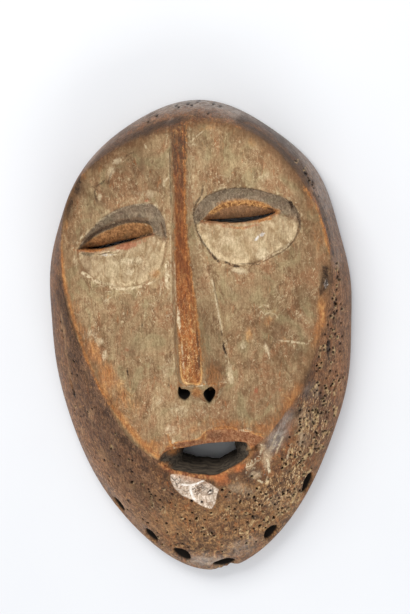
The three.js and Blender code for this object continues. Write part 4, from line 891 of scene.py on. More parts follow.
# thin lines, cracks and scratches: kind, half width, strength, points
LINES = [
    ("dark", 0.5, 0.9, [(10, 79.1), (9.8, 77.2)]),
    ("dark", 0.5, 0.85, [(9.6, 76.2), (7.1, 73.5), (5.7, 70.7), (4.9, 68.6)]),
    ("dark", 0.4, 0.8, [(5, 69.6), (4.9, 66.2), (5.7, 60.8), (7.8, 55.2), (9.7, 51.8), (13, 47), (15.3, 44.4)]),
    ("dark", 0.5, 1, [(12.2, 48), (13.5, 46.2), (15.3, 44.2)]),
    ("dark", 0.5, 1, [(18.6, 43.7), (22.1, 41.9), (25, 41.1)]),
    ("dark", 0.3, 0.6, [(25.2, 42.6), (30, 42.3), (34.1, 41.5), (36.2, 42.7), (40.4, 44.5), (44.6, 46.2), (48.8, 48.8), (51.3, 51.4), (52.7, 53.8), (54.6, 58.2), (54.5, 62.4), (53.1, 67)]),
    ("dark", 0.8, 1.3, [(50.8, 70.2), (51.9, 67.4)]),
    ("dark", 0.5, 0.8, [(54, 63.4), (54.7, 60.4), (54.7, 57.5)]),
    ("dark", 0.4, 0.45, [(13.9, 77.2), (19.3, 78.5), (24.6, 78.9), (30.3, 78.4), (36.3, 77.1), (42.3, 74.8)]),
    ("pale", 0.5, 0.7, [(6, 62.7), (7.1, 57.9), (9, 53.5), (11.6, 49.7), (14.7, 46.2), (18.9, 44.3)]),
    ("pale", 0.5, 0.6, [(36, 43.7), (40.3, 45.4), (44.7, 47.2), (48.6, 49.8), (51.2, 52.7)]),
    ("warm", 0.5, 0.9, [(33.1, 61), (37.2, 62.1), (41.9, 63)]),
    ("warm", 0.6, 0.55, [(18.8, 60.9), (23, 59.7), (27.7, 59.2), (32.1, 59.7)]),
    ("dark", 0.4, 0.9, [(39.5, 67.7), (41.8, 66.8)]),
    ("pale", 0.5, 0.5, [(-53.3, 56.2), (-50.5, 59.1), (-46.8, 61.9), (-40, 67), (-33.3, 70.5), (-26.7, 72.8), (-20.3, 73.9), (-14, 73.6), (-10.4, 70.7), (-8.7, 66.3)]),
    # a brown line with painted shadow along the left lens's upper edge
    ("dark", 0.8, 0.85, [(-52.6, 53), (-48.6, 56.9), (-44.6, 59.9), (-40.1, 62.3), (-35.7, 63.4), (-32.1, 64.8), (-27.8, 65.5), (-23.6, 65.2), (-19.5, 64.7), (-16.1, 63.7)]),
    ("dark", 0.4, 0.9, [(-29.4, 55.2), (-25, 56.4), (-20.5, 57.6), (-16.2, 58.8)]),
    ("pale", 0.3, 0.8, [(-41.5, 50.8), (-36.5, 51.7), (-32.5, 52)]),
    ("pale", 0.3, 0.8, [(-39.6, 48.9), (-34.5, 49.8), (-31, 50.3)]),
    ("dark", 0.3, 0.7, [(-49.4, 50.9), (-42.5, 50.1), (-37.5, 50.7)]),
    ("warm", 0.6, 0.9, [(-51.6, 52.4), (-46.5, 51.9), (-40.8, 52.2)]),
    ("dark", 0.6, 0.7, [(-51.8, 51.4), (-48.4, 50), (-46.5, 49.8)]),
    ("pale", 0.6, 0.85, [(-53.3, 42.5), (-48.8, 39.8), (-44.3, 36.2), (-38.3, 34.2), (-32, 33.2), (-25.4, 33.6), (-21.1, 34.9), (-16.7, 36.6)]),
    ("pale", 0.4, 0.6, [(-45.4, 37.9), (-41.4, 36.4), (-36.3, 35.6)]),
    ("dark", 0.4, 0.7, [(-11, 64.5), (-10.5, 61.5), (-9.4, 57.9)]),
    ("pale", 0.5, 0.9, [(-9.8, 45.4), (-10.1, 38.6), (-10.3, 32.7)]),
    ("pale", 0.4, 0.5, [(-6.5, 59.7), (-7.1, 50.2), (-8, 38.5), (-8.7, 26.8)]),
    ("pale", 0.4, 0.5, [(-13.2, 34.8), (-14.1, 29)]),
    ("pale", 0.3, 0.6, [(4.4, 100.9), (7.8, 103.6), (11.6, 106.3)]),
    ("pale", 0.3, 0.4, [(3.6, 101.9), (5.7, 98.9)]),
    ("dark", 0.4, 0.6, [(-33.1, 89.7), (-34.4, 87.4), (-35.2, 84.6)]),
    ("dark", 0.4, 0.6, [(-26.3, 96.2), (-24.8, 97.6), (-22.3, 98.4)]),
    ("dark", 0.5, 0.7, [(-41.5, 83), (-39.6, 84.3), (-37.9, 84.6)]),
    ("dark", 0.5, 0.7, [(-42.2, 81.6), (-42.3, 78.7), (-41.4, 76.2)]),
    ("pale", 0.4, 0.7, [(-8.6, 82.8), (-7.5, 84.6), (-6.3, 85.5)]),
    ("pale", 0.5, 0.9, [(-4.7, 23.9), (-4.6, 19.2), (-4.1, 13.1)]),
    ("pale", 0.4, 0.5, [(-5.2, 44.8), (-5.6, 34.8), (-5.6, 27.7)]),
    ("pale", 0.4, 0.6, [(-3.7, 6.5), (-3.5, -0.5), (-3.3, -6.1)]),
    ("warm", 0.4, 0.8, [(2.4, 107.6), (2.1, 88.9), (1.5, 74.9), (0.7, 58.3), (0.3, 45.5)]),
    ("warm", 0.4, 0.9, [(0.8, 32.1), (1, 19), (1.4, 6.3), (1.8, -6.3), (1.9, -10.6)]),
    ("warm", 0.4, 0.6, [(-7.5, 5.7), (-7.5, -2.5), (-7.1, -10.1)]),
    ("dark", 0.5, 0.7, [(3.8, 13.2), (4.1, 3.8), (4.1, -4.6)]),
    ("dark", 0.4, 0.6, [(-4.5, 98.6), (-5, 84.5), (-5.4, 72.6)]),
    ("warm", 0.5, 0.85, [(-7.5, -12.9), (-2.7, -12.5), (1.2, -12.2), (3.5, -10.8), (5.4, -12.1), (9.2, -13.5), (14.8, -14.2)]),
    ("pale", 0.4, 0.65, [(11.5, 35.4), (12.1, 30.5), (12.9, 24.6), (13.6, 17.8), (14.3, 12.8)]),
    ("dark", 0.3, 0.5, [(12.2, 34.8), (12.9, 28.5), (13.6, 23.5)]),
    ("dark", 0.5, 1.2, [(15, 4.2), (15.2, 1.8), (16.1, -0.7)]),
    ("dark", 0.4, 0.8, [(14.4, 10.5), (14.6, 7.7)]),
    ("pale", 0.4, 0.7, [(16.4, 5.7), (16.9, 3.2), (17, 1.3)]),
    ("dark", 0.5, 1.2, [(-32.7, -5.6), (-32.7, -8.3), (-32.5, -9.5)]),
    ("dark", 0.4, 0.9, [(-23.8, 16.1), (-23.6, 13.9)]),
    ("dark", 0.4, 0.5, [(-5.7, -30.8), (-5.4, -33.5)]),
    ("pale", 0.4, 0.7, [(42.1, 4.3), (47.8, 3.2), (54.3, 1.6)]),
    ("pale", 0.4, 0.75, [(35.1, 3.1), (36.1, -0.9), (37.3, -5.3)]),
    ("pale", 0.3, 0.5, [(32.7, 20.7), (35.2, 22), (38.4, 21.2)]),
    ("pale", 0.3, 0.5, [(34.3, 16.2), (37.3, 18.4), (40.6, 17.2), (41.8, 15.2)]),
    ("dark", 0.3, 0.35, [(36.1, -0.9), (38.3, 2.8), (40.3, 5.6)]),
    ("pale", 0.4, 0.5, [(-35.7, 45.8), (-33.7, 44.3)]),
    ("pale", 0.4, 0.7, [(-40.4, 28), (-37.7, 29.5)]),
    ("pale", 0.3, 0.35, [(-24.1, 25.2), (-20.5, 26), (-16.8, 24.3)]),
    ("pale", 0.3, 0.4, [(-12.3, 19.2), (-8.8, 20.1)]),
    ("warm", 0.5, 0.35, [(-62, 49.1), (-61.7, 39.7), (-60.9, 29.7), (-58.5, 20.8), (-56.2, 11)]),
    ("dark", 0.5, 0.6, [(-63.1, 33.1), (-61.9, 25.2), (-59.8, 17.4), (-57.4, 8.5), (-55.5, 0.5)]),
    ("warm", 0.7, 0.72, [(-56.2, 11), (-52.5, -2.8), (-49.4, -10.7), (-46.2, -16.9), (-42.5, -22.8), (-37, -30.8), (-29.2, -41.2), (-24, -45.8), (-19.8, -49.4)]),
    ("warm", 0.9, 0.8, [(57.7, 76.9), (60.9, 72.7), (63.6, 68.1), (64.7, 61.5), (66.5, 55.1), (67.5, 48.7), (68.6, 44.1)]),
    ("dark", 0.5, 0.9, [(61.9, 73.3), (64.4, 68.2), (65.8, 62), (67.6, 55.2), (68.7, 47.8), (69.6, 42.2)]),
    ("dark", 0.6, 0.6, [(65.8, 65), (65.4, 63.1)]),
    ("dark", 0.6, 1.2, [(64.7, 1.1), (64.1, -3.5), (64.2, -8.2)]),
    ("warm", 0.5, 0.3, [(31.5, 108.5), (36.7, 105.8), (42.3, 101.6), (48.7, 95.6), (54.7, 88.3)]),
    ("dark", 1.3, 1.1, [(65.4, 38.2), (65.6, 33.8), (65, 30), (64.1, 26.2)]),
    ("dark", 0.8, 0.9, [(63.6, 31.1), (63.2, 27.2), (62.5, 23.9)]),
    ("dark", 1, 1, [(-49.2, 88.4), (-50.4, 84.5), (-51.6, 80.5)]),
    ("dark", 0.8, 0.9, [(-54.1, 78.2), (-55.6, 74.3), (-56.6, 71.4)]),
    ("dark", 0.6, 0.8, [(-51.1, 92.3), (-53.3, 89.5)]),
    ("dark", 0.7, 1.3, [(-64, -18.4), (-63.6, -20.4), (-63, -22.5)]),
    ("dark", 0.4, 0.9, [(-12.2, -11.9), (-11.7, -13.6)]),
    ("pale", 0.6, 1.3, [(32.1, -54.4), (32.3, -58.5), (32.4, -62)]),
    ("pale", 0.5, 1, [(30.4, -45.7), (29.7, -49.9), (28.9, -53.8)]),
    ("pale", 0.5, 1.1, [(27, -65.9), (29, -67.7), (30.7, -67.1), (31.1, -65.2)]),
    ("pale", 0.4, 0.8, [(37.3, -42), (35.8, -45.1), (34.4, -48.2)]),
    ("pale", 0.4, 0.8, [(40.5, -43.2), (38.1, -48.3), (36.4, -51.9)]),
    ("pale", 0.4, 0.8, [(43.7, -49), (42.2, -52.6), (41.2, -56.4)]),
    ("pale", 0.4, 0.9, [(22.7, -54.5), (22.1, -57.1), (21.6, -59.9)]),
    ("pale", 0.4, 0.9, [(24.8, -53.9), (24.2, -56.3), (23.7, -59.1)]),
    ("pale", 0.4, 0.8, [(26.7, -53.1), (26.2, -55.5), (25.7, -58.2)]),
    ("pale", 0.5, 1.3, [(-10, -65), (-6.2, -65.9), (-2.5, -64.7), (0.6, -63.1)]),
    ("pale", 0.6, 1.3, [(-6.6, -66.6), (-6.2, -70), (-5.3, -73.5)]),
    ("dark", 0.4, 0.9, [(-15, -60.5), (-13.5, -62.8), (-12.8, -65.3)]),
    ("dark", 0.3, 0.7, [(-11, -60.4), (-10.6, -62.2), (-11.4, -64.1)]),
    ("dark", 0.3, 0.8, [(-5.3, -67.9), (-2.7, -66.5), (-0, -65)]),
    ("dark", 0.3, 0.8, [(-4.5, -69.5), (-1.7, -67.9), (1.2, -66)]),
    ("dark", 0.3, 0.7, [(-3.4, -71.1), (-1, -69.4), (1.6, -67.5)]),
    ("dark", 0.3, 0.7, [(-10.2, -67.9), (-8.4, -69.7)]),
    ("dark", 0.4, 1, [(1.6, -70.4), (2.8, -68.7), (4.3, -68.4), (4.6, -69.5), (3.6, -71), (2.1, -71.3)]),
    ("pale", 0.3, 1, [(2.7, -70.2), (4, -69.2)]),
    ("warm", 0.8, 1.3, [(-13.5, -40.1), (-12.5, -42.9), (-11.5, -45.7)]),
    ("warm", 0.5, 0.7, [(-19.3, -48.9), (-16.3, -46.7), (-11.5, -45.7), (-4.6, -45.2), (2.7, -44.8), (12.5, -44.5), (19.7, -44.9), (25.5, -45.9)]),
    ("warm", 0.4, 0.8, [(5.1, -36.2), (9.1, -35.7), (14.8, -35.9), (20.6, -36.9)]),
    ("warm", 0.4, 0.9, [(22.4, -37.8), (28.1, -39.5), (32.8, -41.2)]),
    ("pale", 0.4, 0.5, [(-13.2, -40), (-12.2, -42.7), (-11.6, -45.4)]),
    ("warm", 0.5, 0.9, [(-17.9, -49.1), (-19, -51), (-17.9, -53.4)]),
]


def sample2(grid, axes, x, y):
    """values of a grid at points"""
    xs, ys = axes
    h = xs[1] - xs[0]
    u = np.clip((x - xs[0]) / h, 0, len(xs) - 1.001)
    v = np.clip((y - ys[0]) / h, 0, len(ys) - 1.001)
    i, j = u.astype(int), v.astype(int)
    fu, fv = u - i, v - j
    return ((grid[i, j] * (1 - fu) + grid[i + 1, j] * fu) * (1 - fv)
            + (grid[i, j + 1] * (1 - fu) + grid[i + 1, j + 1] * fu) * fv)


def sample3(V, axes, p):
    o = np.array([a[0] for a in axes])
    h = axes[0][1] - axes[0][0]
    q = (p - o) / h
    q = np.clip(q, 0, np.array(V.shape) - 1.001)
    i = q.astype(int)
    f = q - i
    out = 0
    for a in (0, 1):
        for b in (0, 1):
            for c in (0, 1):
                w = ((f[:, 0] if a else 1 - f[:, 0]) * (f[:, 1] if b else 1 - f[:, 1]) * (f[:, 2] if c else 1 - f[:, 2]))
                out = out + w * V[i[:, 0] + a, i[:, 1] + b, i[:, 2] + c]
    return out


def laid_on(kind, x, y):
    """strength of one kind of mark at points"""
    v = np.zeros(len(x))
    for (cx, cy, rx, ry, turn, strength) in MARKS[kind]:
        c, s = math.cos(math.radians(turn)), math.sin(math.radians(turn))
        dx, dy = x - cx, y - cy
        u, w = (dx * c + dy * s) / rx, (dy * c - dx * s) / ry
        v = np.maximum(v, strength * np.exp(-0.9 * (u * u + w * w) ** 1.2))
    for (k, wide, strength, pts) in STROKES:
        if k == kind:
            d, s = stroke(x, y, pts)
            v = np.maximum(v, strength * np.exp(-(d / wide) ** 2))
    return v


def drawn(kind, x, y):
    """signed distance to the nearest drawn line of one kind, in half widths, and how strongly it shows"""
    near, side, show = np.full(len(x), 9.0), np.full(len(x), 9.0), np.zeros(len(x))
    for (k, wide, strength, pts) in LINES:
        if k != kind:
            continue
        q = np.array(pts)
        lo, hi = q.min(0) - 3, q.max(0) + 3
        i = np.nonzero((x > lo[0]) & (x < hi[0]) & (y > lo[1]) & (y < hi[1]))[0]
        for j in range(len(pts) - 1):
            (ax, ay), (bx, by) = pts[j], pts[j + 1]
            ex, ey = bx - ax, by - ay
            L = math.hypot(ex, ey)
            ex, ey = ex / L, ey / L
            t = (x[i] - ax) * ex + (y[i] - ay) * ey
            tc = np.clip(t, 0, L)
            d = np.hypot(x[i] - ax - tc * ex, y[i] - ay - tc * ey)
            over = np.maximum(-t if j == 0 else 0, t - L if j == len(pts) - 2 else 0)
            hit = d < near[i]
            m = i[hit]
            near[m] = d[hit]
            side[m] = (ex * (y[m] - ay) - ey * (x[m] - ax)) / wide
            show[m] = strength * np.clip(1 - np.maximum(over, 0)[hit] / 0.7 if np.ndim(over) else 1.0, 0, 1)
    return np.clip(side, -6, 6), show * np.clip((2.2 - near) / 0.7, 0, 1)


def carve():
    """the mask as a Blender object with the finish's fields on its vertices"""
    h = 0.5
    V, axes, Z, G, hollow_d, f = solid_field(h)
    P, Q = surface_nets(V, axes)
    me = bpy.data.meshes.new("mask_carving")
    me.vertices.add(len(P))
    me.vertices.foreach_set("co", P.astype(np.float32).ravel())
    me.loops.add(len(Q) * 4)
    me.loops.foreach_set("vertex_index", Q.astype(np.int32).ravel())
    me.polygons.add(len(Q))
    me.polygons.foreach_set("loop_start", np.arange(0, 4 * len(Q), 4, dtype=np.int32))
    me.update(calc_edges=True)
    me.validate()
    ob = bpy.data.objects.new("mask_carving", me)
    bpy.context.scene.collection.objects.link(ob)
    # thin it out where it is smooth
    want = 192000
    mod = ob.modifiers.new("thin", "DECIMATE")
    mod.ratio = min(1.0, want / (2 * len(Q)))
    dg = bpy.context.evaluated_depsgraph_get()
    thin = bpy.data.meshes.new_from_object(ob.evaluated_get(dg), depsgraph=dg)
    ob.modifiers.clear()
    ob.data = thin
    bpy.data.meshes.remove(me)
    thin.name = "mask_carving"
    thin.shade_smooth() if hasattr(thin, "shade_smooth") else None
    n = len(thin.vertices)
    co = np.empty(n * 3, np.float32)
    thin.vertices.foreach_get("co", co)
    co = co.reshape(-1, 3).astype(float)
    nr = np.empty(n * 3, np.float32)
    thin.vertices.foreach_get("normal", nr)
    nr = nr.reshape(-1, 3).astype(float)
    x, y, z = co.T
    ax2 = axes[:2]
    zf, zg = sample2(Z, ax2, x, y), sample2(G, ax2, x, y)
    hd = sample2(hollow_d, ax2, x, y)
    kf, kg = steep(Z, h), steep(G, h)
    df, dg_ = np.abs(z - zf) * sample2(kf, ax2, x, y), np.abs(z - zg) * sample2(kg, ax2, x, y)
    back = ((dg_ < df) & (hd < 1.5)).astype(float)
    back = np.where((sample2(f["mouth"], ax2, x, y) > -2.5) & (z > 22) & (nr[:, 2] > -0.5), 0.0, back)
    back = np.maximum(back, (z < 1.0).astype(float))

    def put(name, v):
        a = thin.attributes.new(name, "FLOAT", "POINT")
        a.data.foreach_set("value", np.asarray(v, np.float32))

    for key, lo, hi in (("face", -25, 25), ("socket", -12, 25), ("lens", -6, 8), ("brow", 0, 1), ("slit", 0, 15),
                        ("lidlip", 0, 15), ("nose", -12, 8), ("flank", -12, 12), ("crease", 0, 12), ("lip", -9, 9),
                        ("mouth", -15, 10), ("lowlip", -5, 20), ("flake", -10, 10), ("jaw", 0, 20), ("eaten", 0, 1),
                        ("rimdist", -2, 30)):
        put("m_" + key, np.clip(sample2(np.clip(f[key], lo, hi), ax2, x, y), lo, hi))
    put("m_back", back)
    side = 1 - back
    for kind in MARKS:
        put("p_" + kind, laid_on(kind, x, y) * side)
    for kind in ("dark", "pale", "warm"):
        s, e = drawn(kind, x, y)
        put("line_" + kind, s)
        put("show_" + kind, e * side)
    # nearest worm hole or track, for the pale gnawed rims, and the dark insides of the holes, which are painted shade
    rim = np.full(len(x), 9.0)
    dark = np.zeros(len(x))
    for (mx, my, r, kind) in f["marks"]:
        near_by = np.nonzero((np.abs(x - mx) < 2.5) & (np.abs(y - my) < 2.5))[0]
        d = np.hypot(x[near_by] - mx, y[near_by] - my) - r
        if kind != 1:
            dark[near_by] = np.maximum(dark[near_by], np.clip(0.5 - d / 0.5, 0, 1))
        if kind != 2:                                      # gnawed away more on one side
            d = np.hypot(x[near_by] - mx - 0.3, y[near_by] - my + 0.3) - r
            rim[near_by] = np.minimum(rim[near_by], d)
    put("m_worm", np.where(side > 0.5, rim, 9.0))
    put("m_pit", dark * side)
    # how deep the point lies below the front surface: holes, slits and the mouth's walls; the finish paints these dark
    # as painted shade
    rimd = sample2(np.clip(f["rimdist"], -2, 30), ax2, x, y)
    put("m_deep", np.clip((zf - z) * sample2(kf, ax2, x, y) * np.where((back > 0.5) | (rimd < 1.3), 0, 1) - 0.25, 0, 20))
    # hollows and edges, from the solid's distance field a little way off the surface
    near = 1 - sample3(V, axes, co + nr * 1.5) / 1.5
    far = 1 - sample3(V, axes, co + nr * 4.0) / 4.0
    put("m_cav", np.clip(0.5 * near + 0.5 * far, -1, 2))
    inn = 1 + sample3(V, axes, co - nr * 1.2) / 1.2
    put("m_edge", np.clip(inn, -1, 2))
    thin.transform(Matrix.Diagonal((0.001, 0.001, 0.001, 1)) @ Matrix.Translation((-SHIFT[0], -SHIFT[1], 0)))
    return ob, f


class Nodes:
    """short forms for building a shader's node tree"""

    def __init__(self, name):
        self.mat = bpy.data.materials.new(name)
        self.mat.use_nodes = True
        self.t = self.mat.node_tree
        self.t.nodes.clear()
        self.n = 0

    def new(self, kind, **props):
        node = self.t.nodes.new(kind)
        self.n += 1
        node.location = (220 * (self.n % 12), -260 * (self.n // 12))
        for k, v in props.items():
            setattr(node, k, v)
        return node

    def put(self, sock, v):
        if isinstance(v, bpy.types.NodeSocket):
            self.t.links.new(v, sock)
        elif isinstance(v, (tuple, list)):
            v = tuple(v)
            sock.default_value = v if len(v) == len(sock.default_value) else v + (1.0,)
        else:
            sock.default_value = v

    def attr(self, name):
        return self.new("ShaderNodeAttribute", attribute_name=name).outputs["Fac"]

    def math(self, op, a, b=None, c=None, clamp=False):
        m = self.new("ShaderNodeMath", operation=op, use_clamp=clamp)
        for s, v in zip(m.inputs, (a, b, c)):
            if v is not None:
                self.put(s, v)
        return m.outputs[0]

    def add(self, a, b):
        return self.math("ADD", a, b)

    def mul(self, a, b):
        return self.math("MULTIPLY", a, b)

    def ramp(self, v, a, b, lo=0.0, hi=1.0, smooth=True):
        """v from a..b onto lo..hi, held at the ends"""
        m = self.new("ShaderNodeMapRange", interpolation_type="SMOOTHSTEP" if smooth else "LINEAR")
        for s, val in zip(m.inputs[:5], (v, a, b, lo, hi)):
            self.put(s, val)
        return m.outputs[0]

    def near(self, v, at, width):
        """1 where v is at, falling to 0 at width away"""
        d = self.math("ABSOLUTE", self.math("SUBTRACT", v, at))
        return self.ramp(d, 0.0, width, 1.0, 0.0)

    def mix(self, fac, a, b, kind="MIX"):
        m = self.new("ShaderNodeMix", data_type="RGBA", blend_type=kind)
        self.put(m.inputs[0], fac)
        self.put(m.inputs[6], a)
        self.put(m.inputs[7], b)
        return m.outputs[2]

    def mixf(self, fac, a, b):
        m = self.new("ShaderNodeMix", data_type="FLOAT")
        self.put(m.inputs[0], fac)
        self.put(m.inputs[2], a)
        self.put(m.inputs[3], b)
        return m.outputs[0]

    def coords(self, scale=(1, 1, 1), rot=(0, 0, 0), move=(0, 0, 0)):
        """object coordinates in mm, divided by scale"""
        if not hasattr(self, "obj"):
            self.obj = self.new("ShaderNodeTexCoord").outputs["Object"]
        m = self.new("ShaderNodeMapping")
        self.put(m.inputs["Vector"], self.obj)
        m.inputs["Scale"].default_value = tuple(1000.0 / s for s in scale)
        m.inputs["Rotation"].default_value = rot
        m.inputs["Location"].default_value = move
        return m.outputs[0]

    def noise(self, size=(5, 5, 5), detail=3.0, rough=0.55, dist=0.0, rot=(0, 0, 0), move=(0, 0, 0)):
        at = self.coords(size, rot, move)
        k = self.new("ShaderNodeTexNoise")
        self.put(k.inputs["Vector"], at)
        k.inputs["Scale"].default_value = 1.0
        k.inputs["Detail"].default_value = detail
        k.inputs["Roughness"].default_value = rough
        k.inputs["Distortion"].default_value = dist
        return k.outputs["Fac"]

    def cells(self, size=(5, 5, 5), feature="F1", rot=(0, 0, 0), move=(0, 0, 0), out="Distance", rnd=1.0):
        at = self.coords(size, rot, move)
        k = self.new("ShaderNodeTexVoronoi", feature=feature)
        self.put(k.inputs["Vector"], at)
        k.inputs["Scale"].default_value = 1.0
        k.inputs["Randomness"].default_value = rnd
        return k.outputs[out]


def srgb(r, g, b):
    """a colour given as seen on a screen, 0 to 255"""
    f = lambda c: c / 12.92 if c <= 0.04045 else ((c + 0.055) / 1.055) ** 2.4
    return tuple(f(v / 255) for v in (r, g, b)) + (1.0,)



class Late(dict):
    """values that are made when they are first asked for"""
    def __init__(self, make):
        super().__init__()
        self.make = make

    def __missing__(self, key):
        self[key] = self.make(key)
        return self[key]


def mask_material():
    N = Nodes("carved_wood_kaolin")
    A, P = Late(lambda k: N.attr("m_" + k)), Late(lambda k: N.attr("p_" + k))
    at = N.coords((1, 1, 1))
    up = N.new("ShaderNodeSeparateXYZ")
    N.put(up.inputs[0], at)
    x_mm, y_mm = up.outputs[0], up.outputs[1]

    # patterns: broad zones, smears, fibres, crackle, specks
    blotch = N.noise((24, 32, 24), 3, 0.55, 0.8)
    zones = N.noise((15, 21, 15), 3, 0.55, 1.3, move=(11, 5, 9))
    zones2 = N.noise((11, 15, 11), 3, 0.55, 1.5, move=(21, 15, 3))
    patch = N.noise((8, 11, 8), 5, 0.62, 1.4, move=(3.1, 7.7, 1.3))
    smear = N.noise((6.5, 12, 6.5), 4, 0.58, 2.2, rot=(0, 0, 0.12), move=(5, 1, 2))
    smear2 = N.noise((3.2, 5.6, 3.2), 5, 0.66, 2.4, rot=(0, 0, -0.4), move=(1, 8, 4))
    flaky = N.noise((3.8, 5.5, 3.8), 5, 0.66, 1.6, move=(8, 1.7, 5.3))
    streak = N.noise((2.0, 15, 3.0), 4, 0.62, 0.7, rot=(0, 0, 0.06))
    streak2 = N.noise((1.4, 8.0, 2.2), 4, 0.62, 1.2, rot=(0, 0, -0.10), move=(5, 2, 8))
    streak3 = N.noise((1.8, 9, 2.6), 4, 0.62, 1.2, rot=(0, 0, 0.02), move=(15, 12, 1))

    speck = N.noise((1.3, 1.7, 1.3), 4, 0.72, 0.9, move=(9, 1, 4))
    speck2 = N.noise((3.0, 3.8, 3.0), 5, 0.70, 1.4, move=(2, 19, 6))
    mottle = N.noise((1.2, 1.6, 1.2), 4, 0.76, 1.1, move=(14, 6, 2))
    wander = N.noise((7, 13, 7), 5, 0.62, 0.8, move=(6, 16, 12))
    lines = N.mul(N.near(wander, 0.5, 0.010), N.ramp(zones2, 0.45, 0.58))
    lines2 = N.mul(N.near(N.noise((9, 5, 9), 5, 0.62, 0.8, move=(2, 6, 1)), 0.48, 0.009), N.ramp(zones, 0.5, 0.6))

    def broken(mask, pattern, soft=0.12, gain=1.0):
        """mask with its edge broken up by a pattern"""
        v = N.add(N.mul(mask, gain), N.mul(N.math("SUBTRACT", pattern, 0.5), 1.1))
        return N.mul(N.ramp(v, 0.5 - soft, 0.5 + soft), N.ramp(mask, 0.04, 0.25))

    def times(col, v, lo, hi, a=0.32, b=0.68):
        """colour times a factor that follows a pattern"""
        parts = [N.ramp(v, a, b, 1 + (lo - 1) * w, 1 + (hi - 1) * w, False) for w in (0.9, 1.0, 1.15)]
        g = N.new("ShaderNodeCombineColor")
        for s, v in zip(g.inputs, parts):
            N.put(s, v)
        return N.mix(1.0, col, g.outputs[0], "MULTIPLY")

    # kaolin on the face plane: a thin coat, smeared on, with the wood coming through
    kaolin = N.mix(N.ramp(blotch, 0.38, 0.62), srgb(132, 103, 73), srgb(158, 131, 97))
    kaolin = N.mix(N.mul(N.ramp(zones, 0.50, 0.62), 0.60), kaolin, srgb(150, 106, 74))
    kaolin = N.mix(N.mul(N.ramp(zones, 0.48, 0.37), 0.55), kaolin, srgb(150, 136, 100))
    kaolin = N.mix(N.mul(N.ramp(zones2, 0.52, 0.64), 0.60), kaolin, srgb(112, 80, 54))
    kaolin = N.mix(N.mul(N.ramp(patch, 0.50, 0.70), 0.35), kaolin, srgb(178, 152, 114))
    kaolin = N.mix(N.mul(N.ramp(smear, 0.50, 0.72), 0.50), kaolin, srgb(182, 156, 118))
    kaolin = N.mix(N.mul(N.ramp(smear, 0.47, 0.28), 0.55), kaolin, srgb(106, 76, 50))
    kaolin = N.mix(N.mul(N.ramp(smear2, 0.52, 0.72), N.mixf(N.ramp(zones, 0.44, 0.58), 0.10, 0.45)), kaolin, srgb(196, 171, 132))
    kaolin = N.mix(N.mul(N.ramp(smear2, 0.47, 0.30), N.mixf(N.ramp(zones2, 0.44, 0.58), 0.10, 0.50)), kaolin, srgb(102, 72, 47))
    kaolin = N.mix(N.mul(N.ramp(streak3, 0.58, 0.68), N.mul(0.5, N.ramp(zones2, 0.44, 0.58))), kaolin, srgb(158, 94, 50))
    kaolin = N.mix(N.mul(N.ramp(streak2, 0.57, 0.70), 0.25), kaolin, srgb(194, 170, 132))
    kaolin = N.mix(N.mul(N.ramp(speck, 0.58, 0.66), N.mixf(N.ramp(zones, 0.42, 0.56), 0.15, 0.6)), kaolin, srgb(214, 194, 156))
    kaolin = N.mix(N.mul(N.ramp(speck, 0.42, 0.34), 0.45), kaolin, srgb(84, 58, 38))
    kaolin = N.mix(N.mul(lines, 0.45), kaolin, srgb(208, 188, 150))
    kaolin = N.mix(N.mul(lines2, 0.40), kaolin, srgb(90, 64, 42))
    # it stays in the hollows, is rubbed off the edges and thins out towards the face's border
    kaolin = N.mix(N.mul(N.ramp(A["cav"], 0.16, 0.6), 0.45), kaolin, srgb(188, 166, 126))
    kaolin = N.mix(N.mul(broken(N.ramp(A["edge"], 0.2, 0.8), smear2), 0.5), kaolin, srgb(150, 102, 64))
    border = N.ramp(N.add(A["face"], N.mul(N.math("SUBTRACT", patch, 0.5), 12.0)), 9.0, -0.5)
    kaolin = N.mix(N.mul(border, N.mixf(P["soft"], 0.40, 0.85)), kaolin, N.mix(flaky, srgb(90, 64, 42), srgb(132, 94, 60)))

    # eyes
    # the band under the brow: a darker, greyer coat; the darkness is painted shade under the socket's upper edge
    brow_shade = N.mul(N.ramp(A["brow"], 0.15, 0.8), N.ramp(A["lens"], 0.2, -0.6))
    kaolin = N.mix(N.mul(brow_shade, 0.72), kaolin, N.mix(N.ramp(smear2, 0.34, 0.66), srgb(94, 84, 73), srgb(150, 134, 113)))
    lid = N.mul(N.ramp(A["socket"], 0.4, 1.4), N.math("SUBTRACT", 1.0, N.ramp(A["brow"], 0.1, 0.5)))
    kaolin = N.mix(N.mul(lid, 0.58), kaolin, N.mix(N.ramp(smear, 0.36, 0.64), srgb(166, 140, 104), srgb(206, 184, 148)))
    kaolin = N.mix(N.mul(N.mul(lid, N.near(N.add(A["socket"], N.mul(N.math("SUBTRACT", patch, 0.5), 4.0)), 2.2, 2.2)), N.mul(0.5, N.ramp(smear, 0.42, 0.58))), kaolin, srgb(218, 194, 154))
    lens_c = N.mix(N.ramp(smear2, 0.36, 0.64), srgb(120, 82, 50), srgb(178, 128, 82))
    lens_c = N.mix(N.mul(N.ramp(speck2, 0.54, 0.64), 0.6), lens_c, srgb(190, 142, 92))
    lens_c = N.mix(N.mul(N.ramp(zones2, 0.50, 0.42), 0.5), lens_c, srgb(122, 98, 68))
    lens_c = N.mix(N.mul(N.near(A["lens"], 0.3, 1.2), N.mul(0.45, N.ramp(flaky, 0.44, 0.56))), lens_c, srgb(196, 146, 92))
    # painted shade: the lens darkens to near-black towards the slit, most over the left eye's outer half
    lens_c = N.mix(N.mul(N.ramp(N.add(A["slit"], N.mul(speck2, 1.4)), N.mixf(N.ramp(x_mm, -10.0, 0.0), 2.4, 4.6), 0.9), N.ramp(x_mm, -15.0, -28.0, 0.3, 1.0)), lens_c, srgb(40, 28, 20))
